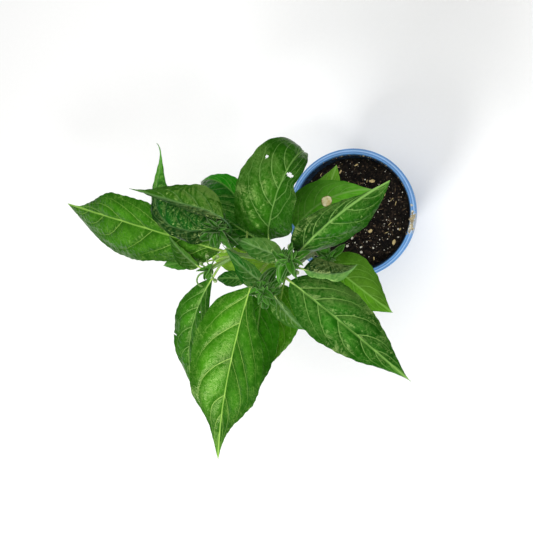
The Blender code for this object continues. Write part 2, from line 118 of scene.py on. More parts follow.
# The curled stalk of a dropped flower, in millimetres.
SPENT_STALK = [(-70, -40.5, 270), (-75.5, -43, 268), (-79, -47, 265), (-79.5, -50.5, 262), (-77, -52.5, 260)]

# Leaves: base in millimetres, angles in degrees, widths and length in millimetres. The looks come
# after: where side veins leave the midrib on the left and right, as shares of its length, how high the
# tissue puckers between them and in the net of small veins, roughness, the greens of the two halves, the
# veins' colour and how clear they are. Holes are the share along the midrib, then millimetres out to
# the left, and half sizes along and across. A scar is the same, and a tip has where it starts, in
# millimetres, and its colour.
LEAF = dict(
    power=1.3, bow=0, headings=None, roll=0, twist=0, fold=12, arch=-18, widest=(0.36, 0.36), blunt=0.63,
    margins=None, notch=0, ripple=0.0,
    veins=((0.06, 0.18, 0.32, 0.48, 0.64, 0.79), (0.1, 0.24, 0.4, 0.56, 0.72, 0.85)),
    pucker=0.9, net=0.28, rough=0.28, green=("#3C7A1E", "#3C7A1E"), vein="#92C165", clear=0.42, shine=0.38,
    holes=(), scar=None, stalk=None, tip=None)
# Small leaves have fainter veins in a coarser net. Old lower leaves are flatter and duller.
SMALL = dict(clear=0.16, net=0.5)
OLD = dict(pucker=0.5, rough=0.5)
# Each leaf's greens were set to how light or dark that leaf looks, so they hold painted light and shade as
# well as its own colour: the low leaves leaf_front_shaded, leaf_right_middle, leaf_right_under and
# leaf_centre_under are painted paler for the light that shines through them.
LEAVES = {
    "leaf_front_large": dict(
        stem="left", at=0.28, base=(-36, -49, 268), heading=-110, rise=-6, droop=12, bow=9, length=151,
        margins=((0, 14, 27.5, 32.5, 30, 21, 10.5, 3.5, 0), (0, 22, 29, 32, 31.5, 26, 13, 5, 0)),
        roll=19, twist=-18, fold=20, arch=-14, ripple=1.2,
        veins=((0.08, 0.27, 0.39, 0.59, 0.71, 0.83), (0.03, 0.19, 0.38, 0.59, 0.7, 0.81)),
        net=0.12, clear=0.5, green=("#2D6A0A", "#34740A"), vein="#AFDA68"),
    "leaf_front_left": dict(
        stem="twig", at=0.75, base=(-70, -46, 258), heading=-125, rise=-8, droop=22, bow=36, length=112,
        left=15, right=18, roll=14, twist=5, fold=16, arch=-16, widest=(0.43, 0.42), blunt=1.0, ripple=1.0,
        holes=((0.255, 4.1, 0.6, 0.6), (0.53, -17, 0.8, 3.5)),
        pucker=1.3, net=0.3, rough=0.3, green=("#245C0A", "#2C690A"), vein="#98C868"),
    "leaf_front_shaded": dict(
        stem="main", at=0.79, base=(-36, -56, 245), heading=-99, rise=-4, droop=23, bow=-4, length=96,
        left=17, right=16, green=("#3F8F15", "#3F8F15"), vein="#8BB85B"),
    "leaf_front_low": dict(
        stem="main", at=0.68, base=(-29, -54, 217), heading=-97, rise=4, droop=27, bow=-18, length=81,
        left=19, right=14, widest=(0.29, 0.35), green=("#569F19", "#4A8C16"), vein="#A3CF61"),
    "leaf_right_front": dict(
        stem="main", at=0.86, base=(-6, -44, 275), heading=-34, rise=2, droop=30, bow=-13, length=104,
        left=21, right=20, roll=-5, blunt=0.72, widest=(0.34, 0.34), ripple=1.0,
        veins=((0.07, 0.19, 0.35, 0.53, 0.68, 0.81), (0.1, 0.22, 0.38, 0.56, 0.68, 0.8)),
        pucker=1.5, net=0.34, rough=0.26, green=("#1B560A", "#1E5E0A"), vein="#98C765"),
    "leaf_right_low": dict(
        OLD, stem="main", at=0.6, base=(2, -36, 205), heading=-36, rise=9, droop=34, bow=-3, length=64,
        left=20, right=15, roll=-3, widest=(0.33, 0.41), net=0.12,
        green=("#4A7D14", "#579814"), vein="#84B950"),
    "leaf_right_back": dict(
        stem="main", at=0.94, base=(-1, -26, 277), heading=46, rise=20, droop=27, bow=-17, length=77,
        left=13, right=19, roll=38, twist=-16, fold=5, arch=-20, widest=(0.25, 0.5), blunt=0.76, ripple=0.8,
        veins=((0.1, 0.23, 0.42, 0.56, 0.7, 0.83), (0.06, 0.2, 0.42, 0.6, 0.75, 0.86)),
        pucker=1.3, net=0.48, rough=0.27, green=("#1B4D0A", "#205B0A"), vein="#94C466"),
    "leaf_right_middle": dict(
        OLD, stem="main", at=0.71, base=(-13, -10, 238), heading=54, rise=14, droop=28, bow=-56, length=64,
        left=17, right=14, widest=(0.31, 0.38), scar=(0.485, -0.9, 4.7, 4.4),
        green=("#539A22", "#59A91F"), vein="#7FAC58"),
    "leaf_right_under": dict(
        OLD, stem="main", at=0.58, base=(-16, -17, 208), heading=54, rise=4, droop=30, bow=26, length=61,
        left=16, right=14, widest=(0.39, 0.4), green=("#67A327", "#67A327"), vein="#8BB95D"),
    "leaf_back_large": dict(
        stem="left", at=0.12, base=(-24, -18, 266), rise=28, droop=170, power=3.6, length=82,
        headings=(86, 72, 67, 66, 62, 63, 62, 56, 50),
        margins=((0, 21, 25.5, 26.5, 27, 25, 20.5, 12.5, 0), (0, 13.5, 20, 17.5, 16, 12.5, 10.5, 4, 0)),
        twist=-6, fold=25, arch=-12, notch=0.25, ripple=1.0,
        veins=((0.13, 0.33, 0.49, 0.64, 0.8), (0.2, 0.38, 0.55, 0.72, 0.84)),
        holes=((0.628, -4, 1.1, 3.4), (0.665, 15.5, 0.8, 0.8), (0.07, 4.1, 0.8, 0.8)),
        pucker=1.1, net=0.36, green=("#28610A", "#245B0A"), vein="#90BE65"),
    "leaf_back_left": dict(
        stem="left", at=0.5, base=(-46, -8.5, 250), heading=96, rise=4, droop=46, bow=100, length=68,
        left=24, right=11, roll=12, twist=10, fold=18, arch=-15, widest=(0.42, 0.3),
        clear=0.22, green=("#13610A", "#22910A"), vein="#99CD68"),
    "leaf_back_under": dict(
        stem="main", at=0.76, base=(-36, -24, 234), heading=146, rise=6, droop=26, bow=10, length=52,
        left=14, right=16, green=("#18610A", "#18610A"), vein="#8BB95D"),
    "leaf_centre_upper": dict(
        SMALL, stem="main", at=0.94, base=(-10, -28, 280), heading=159, rise=5, droop=22, bow=4, length=39,
        left=8, right=8, widest=(0.34, 0.28), green=("#376C23", "#46732C"), vein="#A2C885"),
    "leaf_centre_front": dict(
        SMALL, stem="front", at=0.8, base=(-24, -46, 276), heading=146, rise=8, droop=18, bow=-12, length=39,
        left=9, right=6, widest=(0.24, 0.32), blunt=0.66, green=("#0C5B0A", "#0B570A"), vein="#A2C885"),
    "leaf_centre_small": dict(
        SMALL, stem="front", at=0.6, base=(-37.5, -44.5, 273), heading=171, rise=1, droop=37, bow=25,
        length=27, left=6, right=5, fold=14, widest=(0.41, 0.41), pucker=0.7, green=("#124D0A", "#124D0A")),
    "leaf_centre_under": dict(
        OLD, stem="main", at=0.64, base=(-35, -38, 208), heading=182, rise=-3, droop=19, bow=-8, length=68,
        left=13, right=13, widest=(0.4, 0.38), green=("#C8FF54", "#C8FF54"), vein="#A9D968"),
    # Its left half is painted dark for the shade inside its fold; the pale right half is the underside of the
    # folded-up half.
    "leaf_right_folded": dict(
        stem="main", at=0.9, base=(4.5, -35, 282), rise=6, droop=13, length=37,
        headings=(-12, -14, -8, -2, 2, 8, 18, 34, 50),
        margins=((0, 8, 9.5, 9, 8, 6.5, 5, 3, 0), (0, 3, 3.5, 3.5, 4, 5, 3, 1, 0)),
        net=0.7, rough=0.27, clear=0.1, shine=0.6, green=("#0B3407", "#528438"), vein="#94BB81"),
    "leaf_left_upper": dict(
        stem="left", at=0.92, base=(-42.5, -3.5, 299), rise=5, droop=20, length=76,
        headings=(146, 156, 166, 167, 164, 168, 165, 168, 168),
        margins=((0, 3.5, 4.5, 3.5, 2.5, 2, 1, 0.5, 0), (0, 11, 14.5, 13, 10.5, 7, 3.5, 1, 0)),
        fold=10, ripple=0.6, pucker=1.2, net=0.6, rough=0.27, clear=0.2, shine=0.6, stalk="#1F4A12",
        green=("#0E330A", "#2C5C0A"), vein="#80AC69"),
    "leaf_left_large": dict(
        stem="left", at=0.72, base=(-58, -25.5, 268.5), heading=165.5, rise=-2, droop=22, bow=4, length=162,
        margins=((0, 19, 22, 26, 31, 31, 23, 13, 0), (0, 10, 17, 20, 20, 20, 10, 1.5, 0)),
        roll=-19, fold=8, arch=-20, ripple=1.2,
        veins=((0.06, 0.2, 0.36, 0.55, 0.68, 0.8), (0.12, 0.27, 0.4, 0.55, 0.69, 0.8)),
        holes=((0.925, 8.4, 0.9, 2.2),), pucker=1.3, net=0.4, green=("#2F670A", "#2F690A"), vein="#A6D561"),
    "leaf_left_cupped": dict(
        stem="left", at=0.86, base=(-56.5, -11.5, 281), rise=-1, droop=16, length=102,
        headings=(160, 188, 175, 165, 140, 120, 93, 80, 92, 100, 140),
        margins=((0, 9, 7.5, 5.5, 6, 3.5, 2.5, 1, 0), (0, 19, 19, 20, 20, 14, 4, 1, 0)),
        ripple=1.6, pucker=1.5, net=0.8, rough=0.25, clear=0.2, shine=0.6, tip=(58, "#3E8A1E"),
        green=("#0A3A0A", "#0A4C0A"), vein="#80AC69"),
    "leaf_left_folded": dict(
        SMALL, stem="twig", at=0.55, base=(-75, -37, 270), heading=147, rise=3, droop=19, bow=-16, length=33,
        left=8, right=3, pucker=0.8, green=("#295B0A", "#30640A"), vein="#98BB7E"),
    "leaf_left_small": dict(
        SMALL, stem="twig", at=0.2, base=(-88, -36, 252), heading=183, rise=-8, droop=21, bow=9, length=33,
        left=5, right=8, pucker=0.8),
    "leaf_front_folded": dict(
        SMALL, stem="front", at=0.95, base=(-16, -54, 277), heading=-62, rise=-10, droop=23, bow=21,
        length=33, left=3, right=8, fold=13, green=("#2D5E15", "#366A17"), vein="#A2C892"),
}

# Where leaves are nicked, which the margins share with the CAD.
NICK = 0.58
NICK_SPREAD = 0.04
LEAF_EDGE = 0.5 * MM
TIP_EDGE = 0.15 * MM
# Side veins run out towards this share of the half width, and there turn along the margin.
VEIN_LIMIT = 1.04
VEIN_ANGLE = math.radians(52)
# Sizes in millimetres of the quilting between veins, and of the finer crinkles on it.
QUILT = 4.6
CRINKLE = 2.1
# Half width from which the tissue puckers in full, and waves along each margin.
FULL_WIDTH = 8 * MM
MARGIN_WAVES = 3
# How far a margin wavers, how far the whole blade drifts, and how far side veins stand out beneath.
WAVER = 0.2 * MM
DRIFT = 0.5 * MM
KEEL = 0.3 * MM
# Young leaves: mesh cell and thickness.
YOUNG_CELL = 0.5 * MM
YOUNG_THICKNESS = 0.3 * MM
# Material slots of a leaf or a shoot.
UPPER, UNDER, STALK, BUD = range(4)

# Where the crust on the rim is, the level of the mix, the radius of its foot, and loose bark fibres.
CRUST_SPOT = (55.5 * MM, -8 * MM, 105 * MM)
SOIL_LEVEL = 92 * MM
SOIL_FOOT = 41.5 * MM
LOOSE_FIBRES = 70

# The pot: radius of its foot, how much the outer wall's radius grows with height, how thick the wall
# is and how wide the rim, and its drain holes on a ring in the base.
POT_FOOT = 42 * MM
POT_LEAN = 0.134
WALL = 1.6 * MM
RIM_WIDTH = 5.4 * MM
DRAIN_HOLES = 5
DRAIN_RING = 28 * MM
DRAIN_RADIUS = 4 * MM

# The stem: its ribs, how much and over what length it swells where a leaf stands and how far that may
# go, and the heights from which it is all green and below which it is all woody.
STEM_RIBS = 5
JOINT_SWELL = 0.22
JOINT_LENGTH = 2.2 * MM
MOST_SWOLLEN = 1.3
GREEN_FROM = 235 * MM
WOODY_BELOW = 120 * MM

# Bands of painted shade and painted highlight on top of the rim, dark at the inner edge, in the groove and at
# the outer edge and pale along the bead: inner and outer radius in millimetres, tone and strength.
RIM_SHADE_AND_HIGHLIGHT_BANDS = (
    (54.6, 55.3, "#2C4D78", 0.55), (56.2, 56.9, "#3A6298", 0.5), (57.4, 58.2, "#B8D2F2", 0.6),
    (58.7, 59.4, "#335C92", 0.6),
)

# Larger perlite grains: x, y and half width in millimetres, and how wide they are for their length.
PERLITE = [
    (34, 12, 0.8, 0.8), (42.8, -13.8, 0.9, 0.9), (20, -32, 1.1, 0.8), (0, -22.8, 1.6, 0.7),
    (-4.7, -30.5, 1.5, 0.8), (-10.5, -30.6, 1.3, 0.7), (8.7, -31.2, 1.4, 0.8), (9, -36, 1.5, 0.8),
    (-1, 40.4, 0.8, 0.8), (11.3, 32.2, 0.7, 0.9), (24.6, 27, 0.8, 0.6), (40, -4.6, 0.6, 0.9),
    (30.3, -33.6, 0.7, 0.8), (43, -21.3, 0.9, 0.7), (24, 2, 0.7, 0.8), (14, -26, 0.8, 0.9),
    (3, -27, 0.9, 0.8), (26, -24, 0.6, 0.9), (36, -19, 0.6, 0.8),
]
# Wood chips: x, y, length, width in millimetres, and heading in degrees.
WOOD_CHIPS = [
    (18, 30.7, 6.2, 3.2, -5), (17, -16, 4.2, 3.4, 20), (39.4, -26, 5.5, 3.2, 75), (2.8, 45.9, 4, 1.6, 30),
    (44.5, -14, 3, 1.5, 60), (-18, 22, 5, 2.2, 120), (-34, 5, 4.5, 2, 40), (-28, -28, 5.5, 2.4, 10),
    (5, 20, 3.5, 1.5, 150), (30, 18, 3, 1.2, 80), (-12, 40, 4, 1.7, 60), (21, -42, 3.4, 1.6, 100),
]

# Lights: name, place, what they face, width in metres and watts.
LIGHTS = (
    ("window", (-0.48, -1.0, 1.28), (0, 0, 0.25), 0.5, 13.5),
    ("second_window", (0.8, -0.52, 1.32), (0, 0, 0.25), 0.3, 5),
    ("ceiling", (0.0, 0.35, 1.8), (0, 0, 0.2), 1.7, 21.5),
)
CAMERA_PLACE = (0.1012, 0.0, 0.6267)
CAMERA_TURN = (-5.331, 19.386, 0.0)


# ---------------------------------------------------------------- settings
def colour_setting(name, description, hex_colour):
    """A colour that a user can change, with an sRGB hex value as its default."""
    return FloatVectorProperty(name=name, description=description, subtype="COLOR", size=4, min=0, max=1,
                               default=linear(hex_colour))


class ChilliPotSettings(bpy.types.PropertyGroup):
    """The pot and the dried crust on its rim."""
    rim_radius: FloatProperty(
        name="Rim radius", description="Outer radius of the pot's rim", unit="LENGTH",
        default=(POT_HIGH.x - POT_LOW.x) / 2, min=0.02, max=0.2)
    height: FloatProperty(
        name="Height", description="Height of the pot", unit="LENGTH", default=POT_HIGH.z, min=0.03, max=0.4)
    colour: colour_setting("Plastic", "Colour of the moulded plastic", "#6099D5")
    crust_count: IntProperty(
        name="Crust flakes", description="Number of flakes in the dried crust on the rim", default=90, min=0,
        max=400)


class ChilliSoilSettings(bpy.types.PropertyGroup):
    """The potting mix and what lies in it."""
    colour: colour_setting("Mix", "Colour of the moist potting mix", "#080605")
    clods: IntProperty(
        name="Clods", description="Number of loose crumbs of mix", default=1500, min=0, max=4000)
    perlite: IntProperty(
        name="Perlite", description="Number of perlite grains", default=150, min=0, max=1000)


class ChilliStemSettings(bpy.types.PropertyGroup):
    """The stem and its branches."""
    bark: colour_setting("Bark", "Colour of the woody foot of the stem", "#8A7B54")
    green: colour_setting("Green stem", "Colour of the young stem", "#6C9148")


class ChilliLeafSettings(bpy.types.PropertyGroup):
    """What all leaves share."""
    thickness: FloatProperty(
        name="Blade thickness", description="Thickness of a leaf blade", unit="LENGTH", default=0.4 * MM,
        min=0.1 * MM, max=1 * MM)
    cell: FloatProperty(
        name="Cell", description="Size of a blade's mesh cells", unit="LENGTH", default=0.62 * MM,
        min=0.3 * MM, max=3 * MM)
    pucker: FloatProperty(
        name="Pucker", description="How far the tissue swells between veins, against its usual height",
        default=1.0, min=0, max=3)
    stalk: colour_setting("Leaf stalk", "Colour of leaf stalks and midribs", "#9CC050")


class ChilliShootSettings(bpy.types.PropertyGroup):
    """The young growth at the ends of the stems."""
    youngest: IntProperty(
        name="Youngest leaves", description="Number of small curled leaves round each tip", default=24, min=0,
        max=60)
    bud: colour_setting("Flower bud", "Colour of the closed flower buds", "#A9BE86")


class ChilliStageSettings(bpy.types.PropertyGroup):
    """Floor, light and camera."""
    floor: colour_setting("Floor", "Colour of the floor", "#F9F9F8")
    sky: FloatProperty(
        name="Surrounding light", description="Strength of the light from all round", default=0.17, min=0,
        max=5)
    lens: FloatProperty(
        name="Lens", description="Focal length of the camera in millimetres", default=38.0, min=10, max=200)


# ---------------------------------------------------------------- nodes and materials
# A Mix node set to colours: its two inputs and its result.
MIX_A, MIX_B, MIX_OUT = 6, 7, 2


def add(tree, kind, inputs=None, **settings):
    """A shader node with its settings, and its inputs set to values or linked from sockets. A node that is
    given as an input links the first of its outputs that is in use."""
    made = tree.nodes.new("ShaderNode" + kind)
    for name, value in settings.items():
        setattr(made, name, value)
    for name, value in (inputs or {}).items():
        if isinstance(value, bpy.types.Node):
            value = next(output for output in value.outputs if output.enabled)
        if isinstance(value, bpy.types.NodeSocket):
            tree.links.new(value, made.inputs[name])
        else:
            made.inputs[name].default_value = value
    return made


def new_material(name, roughness, ior=1.5, shine=0.5):
    """A material, its node tree and its Principled shader."""
    material = bpy.data.materials.new(name)
    material.use_nodes = True
    shader = material.node_tree.nodes["Principled BSDF"]
    shader.inputs["Roughness"].default_value = roughness
    shader.inputs["IOR"].default_value = ior
    shader.inputs["Specular IOR Level"].default_value = shine
    return material, material.node_tree, shader


def moulded_polypropylene(colour):
    """Polypropylene, injection moulded: an even satin blue with a faint flow of pigment round the wall,
    and a chalky tide mark where splashed mix has dried on the rim."""
    material, tree, shader = new_material("moulded_polypropylene", 0.42, 1.49)
    place = add(tree, "TexCoord").outputs["Object"]
    # Pigment streaks about 14 mm long round the pot and 4 mm high.
    streaks = add(tree, "Mapping", {"Vector": place, "Scale": (70, 70, 250)})
    flow = add(tree, "TexNoise", {"Vector": streaks, "Scale": 1.0, "Detail": 3.0})
    shade = add(tree, "MapRange", {"Value": flow, "From Min": 0.3, "From Max": 0.7, "To Min": 0.9,
                                   "To Max": 1.08})
    tinted = add(tree, "Mix", {"Factor": 1.0, MIX_A: colour, MIX_B: shade},
                 data_type="RGBA", blend_type="MULTIPLY")
    # The tide mark lies round one spot of the rim, some 20 mm across, in patches of 2 mm.
    away = add(tree, "VectorMath", {0: place, 1: CRUST_SPOT}, operation="DISTANCE")
    near = add(tree, "MapRange", {"Value": away, "From Min": 4 * MM, "From Max": 16 * MM, "To Min": 0.75,
                                  "To Max": 0.0})
    patches = add(tree, "TexNoise", {"Vector": place, "Scale": 500, "Detail": 4.0, "Roughness": 0.7})
    chalk = add(tree, "Math", {0: near, 1: patches}, operation="ADD")
    chalk = add(tree, "MapRange", {"Value": chalk, "From Min": 0.85, "From Max": 1.1})
    # Fine pale scuffs, drawn 0.6 mm wide so that they show.
    scuffs = add(tree, "TexNoise", {"Vector": place, "Scale": 1600, "Detail": 2.0})
    scuffed = add(tree, "MapRange", {"Value": scuffs, "From Min": 0.66, "From Max": 0.8, "To Min": 0.0,
                                     "To Max": 0.25})
    marked = add(tree, "Mix", {"Factor": scuffed, MIX_A: tinted, MIX_B: linear("#A9C4E4")}, data_type="RGBA")
    chalked = add(tree, "Mix", {"Factor": chalk, MIX_A: marked, MIX_B: linear("#B4BDC6")}, data_type="RGBA")
    # Painted highlight along the rim's bead, and painted shade in its groove and at its inner and outer
    # edges.
    depth = add(tree, "SeparateXYZ", {"Vector": place})
    flat = add(tree, "VectorMath", {0: place, 1: (1, 1, 0)}, operation="MULTIPLY")
    radius = add(tree, "VectorMath", {0: flat}, operation="LENGTH")
    for inner, outer, tone, share in RIM_SHADE_AND_HIGHLIGHT_BANDS:
        centre, reach = (inner + outer) / 2 * MM, (outer - inner) / 2 * MM
        off = add(tree, "Math", {0: radius, 1: centre}, operation="SUBTRACT")
        off = add(tree, "Math", {0: off}, operation="ABSOLUTE")
        painted_band = add(tree, "MapRange", {"Value": off, "From Min": reach, "From Max": reach * 0.5,
                                      "To Max": share})
        on_top = add(tree, "MapRange", {"Value": depth.outputs["Z"], "From Min": POT_HIGH.z - 1.5 * MM,
                                        "From Max": POT_HIGH.z - 0.8 * MM})
        painted_band = add(tree, "Math", {0: painted_band, 1: on_top}, operation="MULTIPLY")
        chalked = add(tree, "Mix", {"Factor": painted_band, MIX_A: chalked, MIX_B: linear(tone)}, data_type="RGBA")
    # Moist mix has stained the inner wall, and painted shade darkens it too: from a millimetre below the rim
    # down, the inner wall is painted nearly black in ragged patches, for the stain and for the shade that
    # falls in the pot.
    low = add(tree, "MapRange", {"Value": depth.outputs["Z"], "From Min": POT_HIGH.z - 1 * MM,
                                 "From Max": POT_HIGH.z - 4 * MM, "To Max": 1.9})
    # The wall leans out, so its middle lies farther out the higher it is.
    middle = add(tree, "Math", {0: depth.outputs["Z"], 1: POT_LEAN, 2: POT_FOOT - WALL / 2},
                 operation="MULTIPLY_ADD")
    inwards = add(tree, "Math", {0: middle, 1: radius}, operation="SUBTRACT")
    inside = add(tree, "MapRange", {"Value": inwards, "From Min": 0.0, "From Max": 0.4 * MM})
    ragged = add(tree, "Math", {0: low, 1: patches}, operation="MULTIPLY")
    stain_and_shade = add(tree, "Math", {0: ragged, 1: inside}, operation="MULTIPLY", use_clamp=True)
    stained_and_shaded = add(tree, "Mix", {"Factor": stain_and_shade, MIX_A: chalked, MIX_B: linear("#121820")}, data_type="RGBA")
    tree.links.new(stained_and_shaded.outputs[MIX_OUT], shader.inputs["Base Color"])
    satin = add(tree, "MapRange", {"Value": patches, "To Min": 0.34, "To Max": 0.52})
    tree.links.new(satin.outputs["Result"], shader.inputs["Roughness"])
    # Mould grain, 0.4 mm.
    grain = add(tree, "TexNoise", {"Vector": place, "Scale": 2500, "Detail": 1.0})
    bump = add(tree, "Bump", {"Strength": 0.25, "Distance": 0.05 * MM, "Height": grain})
    tree.links.new(bump.outputs["Normal"], shader.inputs["Normal"])
    return material


def rough_matter(name, colours, size, roughness=0.95):
    """Porous or crumbling matter: matt, with patches of two colours over the given size in metres and
    a grain a quarter as wide."""
    material, tree, shader = new_material(name, roughness, 1.45)
    place = add(tree, "TexCoord").outputs["Object"]
    patches = add(tree, "TexNoise", {"Vector": place, "Scale": 1 / size, "Detail": 5.0, "Roughness": 0.65})
    share = add(tree, "MapRange", {"Value": patches, "From Min": 0.35, "From Max": 0.65})
    mixed = add(tree, "Mix", {"Factor": share, MIX_A: linear(colours[0]), MIX_B: linear(colours[1])},
                data_type="RGBA")
    tree.links.new(mixed.outputs[MIX_OUT], shader.inputs["Base Color"])
    grain = add(tree, "TexNoise", {"Vector": place, "Scale": 4 / size, "Detail": 3.0})
    bump = add(tree, "Bump", {"Strength": 0.7, "Distance": size / 8, "Height": grain})
    tree.links.new(bump.outputs["Normal"], shader.inputs["Normal"])
    return material


def peat_mix(colour):
    """Moist peat with bark and grit: nearly black and matt, with brown fibres and pale dust-fine specks,
    and a wet glint on the odd crumb."""
    material, tree, shader = new_material("peat_mix", 0.9, 1.4, 0.25)
    place = add(tree, "TexCoord").outputs["Object"]
    # Crumbs of 2 mm, fibres brown.
    crumbs = add(tree, "TexNoise", {"Vector": place, "Scale": 450, "Detail": 6.0, "Roughness": 0.7})
    share = add(tree, "MapRange", {"Value": crumbs, "From Min": 0.48, "From Max": 0.72})
    browned = add(tree, "Mix", {"Factor": share, MIX_A: colour, MIX_B: linear("#33281D")}, data_type="RGBA")
    # Specks of perlite dust and sand, drawn 0.7 mm wide so that they show.
    specks = add(tree, "TexVoronoi", {"Vector": place, "Scale": 420, "Randomness": 1.0})
    speck = add(tree, "MapRange", {"Value": specks, "From Min": 0.22, "From Max": 0.14})
    chosen = add(tree, "SeparateXYZ", {"Vector": specks.outputs["Color"]})
    rare = add(tree, "Math", {0: chosen.outputs["X"], 1: 0.86}, operation="GREATER_THAN")
    shown = add(tree, "Math", {0: speck, 1: rare}, operation="MULTIPLY")
    speckled = add(tree, "Mix", {"Factor": shown, MIX_A: browned, MIX_B: linear("#A79F8C")}, data_type="RGBA")
    tree.links.new(speckled.outputs[MIX_OUT], shader.inputs["Base Color"])
    wet = add(tree, "MapRange", {"Value": crumbs, "From Min": 0.55, "From Max": 0.75, "To Min": 0.95,
                                 "To Max": 0.5})
    tree.links.new(wet.outputs["Result"], shader.inputs["Roughness"])
    bump = add(tree, "Bump", {"Strength": 0.9, "Distance": 0.5 * MM, "Height": crumbs})
    tree.links.new(bump.outputs["Normal"], shader.inputs["Normal"])
    return material


def chilli_stem(bark, green):
    """A chilli stem, green and slightly ribbed above and corky below: satin, with fine pale streaks that
    run along it."""
    material, tree, shader = new_material("chilli_stem", 0.5, 1.45)
    place = add(tree, "TexCoord").outputs["Object"]
    height = add(tree, "SeparateXYZ", {"Vector": place})
    # Streaks 0.7 mm apart and 15 mm long.
    stretch = add(tree, "Mapping", {"Vector": place, "Scale": (1400, 1400, 70)})
    streaks = add(tree, "TexNoise", {"Vector": stretch, "Scale": 1.0, "Detail": 3.0})
    woody = add(tree, "MapRange", {"Value": height.outputs["Z"], "From Min": GREEN_FROM,
                                   "From Max": WOODY_BELOW})
    uneven = add(tree, "Math", {0: woody, 1: streaks}, operation="ADD")
    share = add(tree, "MapRange", {"Value": uneven, "From Min": 0.6, "From Max": 1.2})
    mixed = add(tree, "Mix", {"Factor": share, MIX_A: green, MIX_B: bark}, data_type="RGBA")
    pale = add(tree, "MapRange", {"Value": streaks, "From Min": 0.3, "From Max": 0.7, "To Min": 0.72,
                                  "To Max": 1.2})
    streaked = add(tree, "Mix", {"Factor": 1.0, MIX_A: mixed, MIX_B: pale},
                   data_type="RGBA", blend_type="MULTIPLY")
    tree.links.new(streaked.outputs[MIX_OUT], shader.inputs["Base Color"])
    bump = add(tree, "Bump", {"Strength": 0.5, "Distance": 0.2 * MM, "Height": streaks})
    tree.links.new(bump.outputs["Normal"], shader.inputs["Normal"])
    return material


def leaf_stalk(name, colour):
    """A living leaf stalk and midrib: smooth and waxy, pale yellow-green with greener streaks."""
    material, tree, shader = new_material(name, 0.42, 1.45)
    place = add(tree, "TexCoord").outputs["Object"]
    # Mottling 3 mm long.
    mottle = add(tree, "TexNoise", {"Vector": place, "Scale": 330, "Detail": 3.0})
    shade = add(tree, "MapRange", {"Value": mottle, "From Min": 0.3, "From Max": 0.7, "To Min": 0.8,
                                   "To Max": 1.12})
    tinted = add(tree, "Mix", {"Factor": 1.0, MIX_A: colour, MIX_B: shade},
                 data_type="RGBA", blend_type="MULTIPLY")
    tree.links.new(tinted.outputs[MIX_OUT], shader.inputs["Base Color"])
    return material


